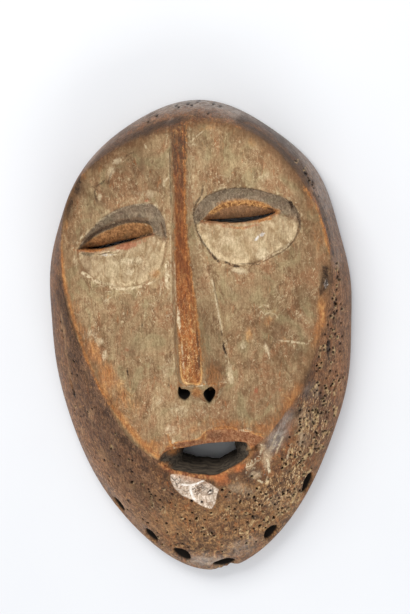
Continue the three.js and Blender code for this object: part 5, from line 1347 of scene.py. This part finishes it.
    # the right eye keeps a crumbly crust along its top and is smooth above the slit
    right_m = N.ramp(x_mm, -6.0, 2.0)
    lens_c = N.mix(N.mul(right_m, 0.55), lens_c, N.mix(N.ramp(streak2, 0.40, 0.60), srgb(128, 96, 70), srgb(162, 122, 92)))
    crust = N.mul(N.mul(right_m, N.ramp(N.add(A["lens"], N.mul(N.math("SUBTRACT", speck2, 0.5), 2.0)), 3.0, 2.2)), N.ramp(A["slit"], 2.6, 4.0))
    lens_c = N.mix(N.mul(crust, 0.85), lens_c, N.mix(N.ramp(speck, 0.42, 0.56), srgb(112, 68, 34), srgb(208, 156, 96)))
    lensn = N.add(A["lens"], N.mul(N.math("SUBTRACT", speck2, 0.5), 2.6))
    kaolin = N.mix(N.ramp(lensn, -0.6, 0.7), kaolin, lens_c)
    lip_c = N.mix(N.ramp(streak2, 0.4, 0.6), srgb(116, 66, 42), srgb(176, 116, 72))
    lidlip = N.mul(N.ramp(N.add(A["lidlip"], N.mul(speck2, 2.6)), 3.3, 1.1), N.ramp(A["lidlip"], 6, 2))
    kaolin = N.mix(N.mul(lidlip, 0.8), kaolin, lip_c)
    # painted shade: a dark line just inside the socket's edge, on the right eye and under the brow; painted highlight:
    # a broken pale line just outside it
    rim_shade = N.mul(N.near(A["socket"], 0.15, 0.6), N.math("MAXIMUM", N.ramp(x_mm, -2.0, 3.0), N.ramp(A["brow"], 0.0, 0.3)))
    rim_highlight = N.near(N.add(A["socket"], N.mul(N.math("SUBTRACT", patch, 0.5), 2.4)), -0.9, 1.3)
    kaolin = N.mix(N.mul(rim_highlight, N.mul(0.42, N.ramp(flaky, 0.44, 0.62))), kaolin, srgb(204, 184, 146))
    kaolin = N.mix(N.mul(rim_shade, N.mul(0.6, N.mul(N.ramp(zones2, 0.44, 0.52), N.ramp(speck2, 0.44, 0.52)))), kaolin, srgb(84, 64, 46))

    # the nose's ridge and flanks
    low_m = N.ramp(y_mm, 45, -5)                           # towards the tip
    ridge_c = N.mix(N.ramp(y_mm, 95, 60), srgb(86, 58, 38), srgb(116, 64, 30))
    ridge_c = N.mix(N.mul(low_m, 0.7), ridge_c, srgb(146, 92, 46))
    ridge_c = N.mix(N.mul(N.ramp(streak, 0.46, 0.60), 0.55), ridge_c, srgb(98, 50, 24))
    ridge_c = N.mix(N.mul(N.ramp(streak3, 0.49, 0.60), N.mixf(low_m, 0.45, 0.7)), ridge_c, srgb(168, 100, 48))
    ridge_c = N.mix(N.mul(N.ramp(flaky, 0.50, 0.60), N.mixf(low_m, 0.15, 0.45)), ridge_c, srgb(180, 138, 84))
    ridge_c = N.mix(N.mul(N.ramp(speck2, 0.54, 0.61), N.mixf(low_m, 0.25, 0.45)), ridge_c, srgb(112, 60, 28))
    ridge_c = N.mix(N.mul(N.ramp(speck, 0.56, 0.63), N.mixf(low_m, 0.06, 0.55)), ridge_c, srgb(214, 178, 124))
    ridge_n = N.add(A["nose"], N.mul(N.math("SUBTRACT", flaky, 0.5), 3.4))
    ridge_edge = N.mul(N.near(ridge_n, 0.3, 0.8), N.ramp(speck2, 0.42, 0.56))
    ridge_c = N.mix(N.mul(ridge_edge, N.mul(0.55, N.ramp(x_mm, -2.5, 0.5))), ridge_c, srgb(198, 138, 76))
    ridge_c = N.mix(N.mul(ridge_edge, N.mul(0.45, N.ramp(x_mm, -1.5, -3.5))), ridge_c, srgb(150, 116, 78))
    tip = N.mul(N.near(N.add(A["nose"], N.mul(N.math("SUBTRACT", speck2, 0.5), 1.2)), 0.6, 0.7), N.ramp(y_mm, 2, -7))
    ridge_c = N.mix(N.mul(tip, 0.6), ridge_c, srgb(222, 176, 112))
    ridge_c = N.mix(N.mul(N.ramp(mottle, 0.55, 0.66), N.mixf(low_m, 0.06, 0.6)), ridge_c, srgb(222, 190, 138))
    kaolin = N.mix(N.ramp(ridge_n, -0.8, 0.6), kaolin, ridge_c)
    nearnose = N.mul(N.near(A["flank"], -0.4, 1.8), N.ramp(A["nose"], -0.5, -1.5))
    kaolin = N.mix(N.mul(nearnose, N.mul(0.5, N.ramp(smear2, 0.46, 0.62))), kaolin, srgb(200, 180, 144))
    crease = N.mul(N.near(A["crease"], 0.0, 0.6), N.ramp(speck2, 0.42, 0.56))
    kaolin = N.mix(N.mul(crease, 0.45), kaolin, srgb(206, 186, 148))

    # lips
    lips = N.ramp(N.add(A["lip"], N.mul(N.math("SUBTRACT", speck2, 0.5), 2.4)), -0.5, 0.7)
    lipc = N.mix(N.ramp(speck2, 0.4, 0.62), srgb(124, 72, 44), srgb(166, 116, 80))
    lipc = N.mix(N.mul(N.ramp(mottle, 0.54, 0.64), 0.5), lipc, srgb(186, 150, 114))
    lipc = N.mix(N.mul(N.near(A["lip"], 0.2, 0.9), N.ramp(flaky, 0.44, 0.58)), lipc, srgb(204, 142, 80))
    kaolin = N.mix(N.mul(lips, 0.9), kaolin, lipc)

    # marks of wear laid over the coat; some dark ones are painted shade along the forehead's border
    kaolin = N.mix(N.mul(broken(P["brown"], patch, 0.25), 0.6), kaolin, N.mix(smear, srgb(100, 72, 50), srgb(134, 104, 76)))
    kaolin = N.mix(N.mul(broken(P["pale"], speck2, 0.22), 0.7), kaolin, N.mix(speck, srgb(190, 168, 132), srgb(228, 210, 176)))
    rust = N.mix(N.ramp(streak2, 0.36, 0.64), srgb(118, 66, 34), srgb(182, 120, 68))
    kaolin = N.mix(N.mul(N.mul(P["rust"], N.ramp(N.add(N.mul(P["rust"], 0.25), smear2), 0.42, 0.72)), 0.85), kaolin, rust)
    warm = N.mix(N.ramp(flaky, 0.38, 0.62), srgb(156, 92, 46), srgb(206, 152, 94))
    kaolin = N.mix(N.mul(broken(P["warm"], flaky, 0.45), 0.62), kaolin, warm)
    kaolin = N.mix(N.mul(broken(P["red"], speck2, 0.3), 0.7), kaolin, N.mix(speck, srgb(120, 58, 38), srgb(190, 112, 80)))
    kaolin = N.mix(N.mul(P["dark"], 0.78), kaolin, N.mix(speck2, srgb(56, 44, 34), srgb(88, 70, 54)))

    # wood of the surround: dark, rubbed to a polish
    grain = N.noise((1.4, 14, 3.0), 4, 0.62, 0.6, rot=(0, 0, 0.06), move=(7, 3, 2))
    chin_m = N.ramp(y_mm, -52, -88)
    wood = N.mix(N.ramp(blotch, 0.38, 0.62), srgb(84, 53, 31), srgb(112, 74, 45))
    wood = N.mix(N.mul(chin_m, 0.65), wood, srgb(130, 98, 66))
    chin_v = N.noise((6.5, 5.0, 6.5), 4, 0.6, 1.4, move=(9, 3, 12))
    wood = N.mix(N.mul(N.ramp(chin_v, 0.50, 0.40), N.mul(chin_m, 0.6)), wood, srgb(74, 48, 30))
    wood = N.mix(N.mul(N.ramp(chin_v, 0.52, 0.62), N.mul(chin_m, 0.6)), wood, srgb(168, 122, 72))
    wood = N.mix(N.mul(N.ramp(zones, 0.50, 0.60), 0.55), wood, srgb(138, 86, 46))
    wood = N.mix(N.mul(N.ramp(zones2, 0.50, 0.60), 0.50), wood, srgb(66, 42, 28))
    wood = N.mix(N.mul(N.ramp(grain, 0.46, 0.62), 0.5), wood, srgb(58, 36, 24))
    wood = N.mix(N.mul(N.ramp(patch, 0.50, 0.62), N.mixf(chin_m, 0.35, 0.6)), wood, srgb(148, 108, 66))
    wood = N.mix(N.mul(N.ramp(smear2, 0.52, 0.62), N.mixf(chin_m, 0.20, 0.55)), wood, srgb(166, 124, 78))
    wood = N.mix(N.mul(N.ramp(smear2, 0.47, 0.37), N.mixf(chin_m, 0.30, 0.6)), wood, srgb(52, 33, 20))
    wood = N.mix(N.mul(N.ramp(flaky, 0.54, 0.64), N.mul(chin_m, 0.6)), wood, srgb(186, 146, 98))
    wood = N.mix(N.mul(N.ramp(streak3, 0.56, 0.64), 0.45), wood, srgb(160, 92, 42))
    wood = N.mix(N.mul(N.ramp(speck2, 0.55, 0.63), N.mixf(chin_m, 0.5, 0.7)), wood, srgb(44, 28, 18))
    wood = N.mix(N.mul(N.ramp(speck, 0.59, 0.66), N.mixf(N.ramp(zones, 0.46, 0.56), 0.2, 0.75)), wood, srgb(186, 142, 94))
    # a dusty greyish film, partly painted sheen standing in for reflection of the bright surroundings; the same marks
    # also raise the coat
    wood = N.mix(N.mul(P["grey"], N.mixf(smear2, 0.75, 1.0)), wood, N.mix(N.ramp(smear, 0.36, 0.64), srgb(98, 87, 78), srgb(156, 146, 136)))
    wood = N.mix(N.mul(broken(P["warm"], speck2, 0.45), 0.5), wood, N.mix(streak2, srgb(126, 78, 44), srgb(180, 124, 76)))
    wood = N.mix(N.mul(broken(P["tan"], speck2, 0.3), 0.65), wood, N.mix(speck, srgb(132, 98, 64), srgb(190, 152, 108)))
    wood = N.mix(N.mul(broken(P["cream"], speck2, 0.3), 0.6), wood, N.mix(speck, srgb(158, 128, 96), srgb(220, 198, 164)))
    wood = N.mix(N.mul(broken(P["pale"], speck2, 0.2), 0.5), wood, srgb(192, 166, 130))
    # dark marks: dirt, and painted shade along the forehead's border
    wood = N.mix(N.mul(broken(P["dark"], patch, 0.35), 0.85), wood, N.mix(speck2, srgb(38, 25, 16), srgb(72, 50, 34)))
    # the flanks are smoother and cooler, with small chips
    flank_w = N.math("MAXIMUM", N.mul(N.ramp(N.add(x_mm, N.mul(N.math("SUBTRACT", zones, 0.5), 30.0)), -14.0, -34.0), N.ramp(y_mm, 35.0, -20.0, 0.4, 1.0)), N.mul(N.ramp(x_mm, 50.0, 62.0), 0.8))
    wood = N.mix(N.mul(flank_w, 0.50), wood, N.mix(N.ramp(smear2, 0.40, 0.60), srgb(88, 60, 40), srgb(164, 122, 90)))
    wood = N.mix(N.mul(N.mul(flank_w, 0.7), N.ramp(speck, 0.60, 0.65)), wood, srgb(192, 142, 92))
    wood = N.mix(N.mul(N.mul(flank_w, 0.6), N.ramp(speck, 0.39, 0.34)), wood, srgb(46, 30, 22))
    bored = N.noise((1.0, 4.6, 1.4), 3, 0.6, 1.0, rot=(0, 0, 0.16), move=(3, 3, 9))
    bored2 = N.noise((1.0, 4.2, 1.4), 3, 0.6, 1.0, rot=(0, 0, -0.80), move=(8, 3, 2))
    # where the grubs have been: open tracks, gnawed pale, with dark between
    for key, run in (("trackv", bored), ("trackd", bored2)):
        on = N.ramp(N.add(P[key], N.mul(N.math("SUBTRACT", patch, 0.5), 1.2)), 0.15, 0.7)
        wood = N.mix(N.mul(on, N.mul(0.75, N.ramp(run, 0.47, 0.38))), wood, srgb(54, 34, 22))
        wood = N.mix(N.mul(on, N.mul(0.85, N.ramp(run, 0.54, 0.62))), wood, N.mix(N.ramp(speck, 0.4, 0.6), srgb(168, 120, 74), srgb(228, 200, 154)))
    gnawed = N.mul(N.ramp(A["worm"], 0.65, 0.05), N.ramp(speck2, 0.42, 0.58))
    wood = N.mix(N.mul(gnawed, 0.75), wood, N.mix(speck, srgb(176, 138, 92), srgb(226, 200, 152)))
    flake_c = N.mix(N.ramp(smear2, 0.40, 0.60), srgb(186, 162, 140), srgb(232, 214, 194))
    # dark lines at the facet edges and a tone across each facet: painted shading for the knife facets' relief
    cut_at = dict(size=(2.2, 5.0, 3.0), rot=(0, 0, -0.9), move=(2, 5, 1))
    flake_c = N.mix(N.mul(N.ramp(N.cells(feature="DISTANCE_TO_EDGE", **cut_at), 0.10, 0.0), 0.6), flake_c, srgb(128, 100, 80))
    flake_c = N.mix(N.mul(N.ramp(N.cells(**cut_at), 0.3, 0.75), 0.4), flake_c, srgb(150, 126, 106))
    cross = N.noise((6.0, 1.2, 2.0), 4, 0.65, 1.2, rot=(0, 0, 0.65), move=(1, 2, 3))
    flake_c = N.mix(N.mul(N.ramp(cross, 0.52, 0.62), 0.4), flake_c, srgb(244, 232, 216))
    flake_c = N.mix(N.mul(N.ramp(speck2, 0.56, 0.63), 0.5), flake_c, srgb(150, 118, 92))
    flake_c = N.mix(N.mul(P["facet"], 0.85), flake_c, N.mix(speck, srgb(160, 116, 88), srgb(206, 164, 132)))
    wood = N.mix(N.ramp(N.add(A["flake"], N.mul(N.math("SUBTRACT", speck2, 0.5), 1.2)), -0.25, 0.35), wood, flake_c)
    low = N.mul(N.ramp(N.add(A["lowlip"], N.mul(speck2, 3.0)), 3.4, 1.5), N.ramp(x_mm, 24.0, 9.0, 0.35, 1.0))
    wood = N.mix(N.mul(low, 0.8), wood, N.mix(N.ramp(speck2, 0.4, 0.6), srgb(118, 62, 34), srgb(196, 138, 84)))
    wood = N.mix(N.mul(broken(P["red"], flaky, 0.4), 0.75), wood, N.mix(flaky, srgb(150, 72, 32), srgb(204, 124, 68)))

    # the border between face and side: worn arris in places, a soft dark edge elsewhere
    wide = N.mixf(P["soft"], 0.35, 3.0)
    facen = N.add(A["face"], N.mul(N.math("SUBTRACT", patch, 0.5), N.mixf(P["soft"], 2.2, 6.0)))
    on_face = N.ramp(facen, N.mul(wide, -1.2), wide)
    col = N.mix(on_face, wood, kaolin)
    thin = N.mul(N.near(facen, -0.2, 0.8), N.ramp(P["warm"], 0.15, 0.6))
    thin = N.mul(thin, N.mul(0.8, N.ramp(N.add(flaky, N.mul(P["warm"], 0.06)), 0.48, 0.62)))
    col = N.mix(thin, col, N.mix(N.ramp(speck, 0.42, 0.6), srgb(136, 74, 34), srgb(200, 138, 76)))

    # lighter and darker patches, painted light and painted shade, then fibres and crackle all over
    col = N.mix(N.mul(P["shade"], 0.55), col, N.mix(1.0, col, srgb(128, 118, 110), "MULTIPLY"))
    col = N.mix(N.mul(P["light"], 0.5), col, N.mix(1.0, col, (1.9, 1.9, 1.9, 1.0), "MULTIPLY"))
    hair = N.noise((0.55, 5.0, 1.0), 3, 0.6, 0.5, rot=(0, 0, 0.04), move=(12, 3, 5))
    fibre = N.noise((0.8, 13, 1.4), 2, 0.5, 0.5, rot=(0, 0, 0.05), move=(2, 7, 3))
    col = times(col, fibre, 0.90, 1.10)
    col = times(col, hair, 0.87, 1.13)
    rough_zone = N.ramp(N.add(zones2, N.mul(P["brown"], -0.1)), 0.42, 0.60)
    crackle = N.mixf(N.mul(on_face, rough_zone), N.mixf(on_face, mottle, N.mixf(0.5, mottle, 0.5)), mottle)
    col = times(col, crackle, 0.76, 1.24)
    fine = N.noise((0.7, 1.0, 0.7), 3, 0.7, 0.2, move=(4, 4, 4))
    col = times(col, fine, 0.83, 1.17)
    grit = N.noise((0.95, 1.6, 0.95), 4, 0.75, 1.0, move=(4, 14, 8))
    col = N.mix(P["rough"], col, times(col, grit, 0.62, 1.38, 0.36, 0.64))
    col = N.mix(N.mul(broken(P["ash"], speck, 0.2), 0.75), col, N.mix(N.ramp(speck2, 0.4, 0.6), srgb(168, 160, 154), srgb(232, 228, 222)))
    # cracks, scratches and rubbed lines
    def drawn_line(kind, keep, lo, hi):
        s = N.add(N.attr("line_" + kind), N.mul(N.math("SUBTRACT", speck, 0.5), 3.2))
        s = N.add(s, N.mul(N.math("SUBTRACT", speck2, 0.5), 2.4))
        v = N.mul(N.ramp(N.math("ABSOLUTE", s), 1.35, 0.65), N.attr("show_" + kind))
        return N.mul(v, N.ramp(keep, lo, hi))

    bare = N.ramp(A["flake"], -0.3, 0.3)
    col = N.mix(N.mul(drawn_line("pale", flaky, N.mixf(bare, 0.42, 0.30), N.mixf(bare, 0.54, 0.42)), 0.85), col, N.mix(N.ramp(speck, 0.4, 0.6), N.mix(bare, srgb(188, 166, 130), srgb(226, 212, 196)), N.mix(bare, srgb(230, 212, 178), srgb(252, 246, 238))))
    col = N.mix(N.mul(drawn_line("warm", flaky, 0.42, 0.56), 0.85), col, N.mix(N.ramp(speck, 0.42, 0.62), srgb(126, 68, 30), srgb(204, 140, 78)))
    col = N.mix(N.mul(drawn_line("dark", speck2, 0.36, 0.48), 0.85), col, N.mix(N.ramp(speck, 0.4, 0.6), srgb(36, 26, 20), srgb(76, 56, 40)))
    # holes and slits: walls painted near-black, dark brown in the mouth, as painted shade, with a warm patch in the
    # mouth
    hole_shade = N.mix(speck2, srgb(15, 11, 8), srgb(32, 25, 19))
    through_mouth = N.ramp(A["mouth"], -3.0, -1.0)
    hole_shade = N.mix(through_mouth, hole_shade, N.mix(N.ramp(N.noise((9, 1.6, 1.6), 4, 0.65, 1.0, move=(4, 1, 2)), 0.38, 0.62), srgb(50, 44, 38), srgb(90, 80, 68)))
    hole_shade = N.mix(N.mul(through_mouth, N.mul(P["warm"], N.ramp(speck2, 0.36, 0.5))), hole_shade, srgb(178, 120, 72))
    col = N.mix(N.ramp(A["deep"], 0.3, 1.6), col, hole_shade)
    # painted shade inside the worm holes
    col = N.mix(N.mul(A["pit"], 0.9), col, srgb(30, 20, 14))
    # back: bare dark wood, darker with handling at the rim
    back = N.mix(N.ramp(blotch, 0.35, 0.65), srgb(112, 88, 66), srgb(140, 112, 84))
    back = N.mix(N.mul(N.ramp(grain, 0.46, 0.64), 0.6), back, srgb(84, 62, 44))
    back = N.mix(N.mul(N.ramp(speck2, 0.58, 0.7), 0.4), back, srgb(158, 128, 94))
    back = N.mix(N.mul(N.ramp(zones, 0.52, 0.64), 0.5), back, srgb(78, 60, 46))
    back = N.mix(N.ramp(A["rimdist"], 11, 2), back, N.mix(smear, srgb(62, 46, 34), srgb(92, 70, 52)))
    col = N.mix(N.ramp(A["back"], 0.3, 0.7), col, back)

    rough = N.mixf(on_face, N.mixf(speck2, 0.46, 0.66), 0.85)
    rough = N.mixf(N.ramp(A["nose"], -0.5, 0.3), rough, 0.55)
    rough = N.mixf(N.ramp(A["back"], 0.3, 0.7), rough, 0.82)
    rough = N.mixf(N.ramp(A["deep"], 0.3, 1.6), rough, 0.9)
    rough = N.mixf(N.ramp(A["flake"], -0.2, 0.4), rough, 0.8)
    polish = N.mul(N.math("SUBTRACT", 1.0, on_face), N.math("SUBTRACT", 1.0, N.ramp(A["flake"], -0.2, 0.4)))
    polish = N.mul(polish, N.math("SUBTRACT", 1.0, N.ramp(A["deep"], 0.3, 1.6)))
    polish = N.mul(polish, N.math("SUBTRACT", 1.0, N.ramp(A["back"], 0.3, 0.7)))
    polish = N.mul(polish, N.mul(N.ramp(speck2, 0.66, 0.44), N.math("SUBTRACT", 1.0, N.mul(N.ramp(A["eaten"], 0.2, 0.8), 0.7))))

    h1 = N.add(N.mul(smear2, 0.5), N.mul(speck, 0.5))
    h2 = N.add(N.mul(fine, 0.30), N.mul(fibre, 0.35))
    height = N.add(N.add(N.add(h1, h2), N.mul(patch, 0.5)), N.mul(flaky, 0.6))
    bump = N.new("ShaderNodeBump")
    bump.inputs["Strength"].default_value = 0.75
    bump.inputs["Distance"].default_value = 0.0005
    N.put(bump.inputs["Height"], height)
    coat = N.mul(N.mul(polish, N.math("SUBTRACT", 1.0, N.mul(P["dark"], 0.95))), N.mixf(P["grey"], 0.08, 0.6))
    sh = N.new("ShaderNodeBsdfPrincipled")
    sh.inputs["Specular IOR Level"].default_value = 0.20
    sh.inputs["Coat Roughness"].default_value = 0.32
    N.put(sh.inputs["Coat Weight"], coat)
    N.put(sh.inputs["Base Color"], col)
    N.put(sh.inputs["Roughness"], rough)
    N.put(sh.inputs["Normal"], bump.outputs[0])
    out = N.new("ShaderNodeOutputMaterial")
    N.t.links.new(sh.outputs[0], out.inputs["Surface"])
    return N.mat


def floor_material():
    N = Nodes("pale_floor")
    n = N.noise((60, 60, 60), 2, 0.5)
    sh = N.new("ShaderNodeBsdfPrincipled")
    N.put(sh.inputs["Base Color"], N.mix(n, srgb(224, 226, 230), srgb(228, 230, 233)))
    sh.inputs["Roughness"].default_value = 0.7
    sh.inputs["Specular IOR Level"].default_value = 0.2
    out = N.new("ShaderNodeOutputMaterial")
    N.t.links.new(sh.outputs[0], out.inputs["Surface"])
    return N.mat


def area(name, at, look, size, power, color=(1, 1, 1)):
    data = bpy.data.lights.new(name, "AREA")
    data.shape = "RECTANGLE"
    data.size, data.size_y = size
    data.energy = power
    data.color = color
    ob = bpy.data.objects.new(name, data)
    ob.location = at
    ob.rotation_euler = (Vector(look) - Vector(at)).to_track_quat("-Z", "Y").to_euler()
    bpy.context.scene.collection.objects.link(ob)
    return ob


def stage():
    me = bpy.data.meshes.new("floor")
    s = 3.0
    me.from_pydata([(-s, -s, 0), (s, -s, 0), (s, s, 0), (-s, s, 0)], [], [(0, 1, 2, 3)])
    ob = bpy.data.objects.new("floor", me)
    bpy.context.scene.collection.objects.link(ob)
    me.materials.append(floor_material())
    world = bpy.data.worlds.new("studio")
    world.use_nodes = True
    world.node_tree.nodes["Background"].inputs[0].default_value = (0.95, 0.97, 1.0, 1)
    world.node_tree.nodes["Background"].inputs[1].default_value = 0.6
    bpy.context.scene.world = world
    area("softbox_top", (-0.25, 0.75, 0.85), (0, 0, 0.02), (0.7, 0.5), 8.6, (1.0, 0.98, 0.95))
    area("softbox_low", (0.25, -0.85, 0.75), (0, 0, 0.02), (0.9, 0.5), 4.2, (1.0, 0.98, 0.96))
    area("softbox_front", (0.10, 0.14, 1.25), (0, -0.03, 0.02), (0.35, 0.35), 1.6, (1.0, 0.98, 0.95))
    bpy.context.scene.view_settings.view_transform = "Standard"
    bpy.context.scene.view_settings.look = "None"


def camera():
    yaw, pitch, roll, dist, f_px = math.radians(7), math.radians(9), math.radians(4), 900.0, 1855.8
    target = np.array([6.1 - SHIFT[0], 21.0 - SHIFT[1], 33.0])
    n = np.array([math.sin(yaw) * math.cos(pitch), math.sin(pitch), math.cos(yaw) * math.cos(pitch)])
    right = np.cross((0, 1, 0), n)
    right /= np.linalg.norm(right)
    up = np.cross(n, right)
    r2 = math.cos(roll) * right - math.sin(roll) * up
    u2 = math.cos(roll) * up + math.sin(roll) * right
    loc = (target + n * dist) / 1000
    data = bpy.data.cameras.new("camera")
    data.sensor_width = 36.0
    data.lens = f_px / 614 * 36.0
    data.clip_start, data.clip_end = 0.05, 20
    ob = bpy.data.objects.new("camera", data)
    ob.matrix_world = Matrix([[r2[0], u2[0], n[0], loc[0]], [r2[1], u2[1], n[1], loc[1]],
                              [r2[2], u2[2], n[2], loc[2]], [0, 0, 0, 1]])
    bpy.context.scene.collection.objects.link(ob)
    bpy.context.scene.camera = ob


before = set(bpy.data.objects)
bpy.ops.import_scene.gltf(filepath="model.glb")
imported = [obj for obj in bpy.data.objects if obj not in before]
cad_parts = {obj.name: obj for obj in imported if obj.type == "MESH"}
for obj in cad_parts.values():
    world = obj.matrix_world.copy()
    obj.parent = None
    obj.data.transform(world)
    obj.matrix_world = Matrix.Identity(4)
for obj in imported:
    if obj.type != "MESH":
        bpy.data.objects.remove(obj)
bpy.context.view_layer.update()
camera()
stage()
mask, fields = carve()
mask.data.materials.append(mask_material())
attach(mask, "root")
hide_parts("mask")
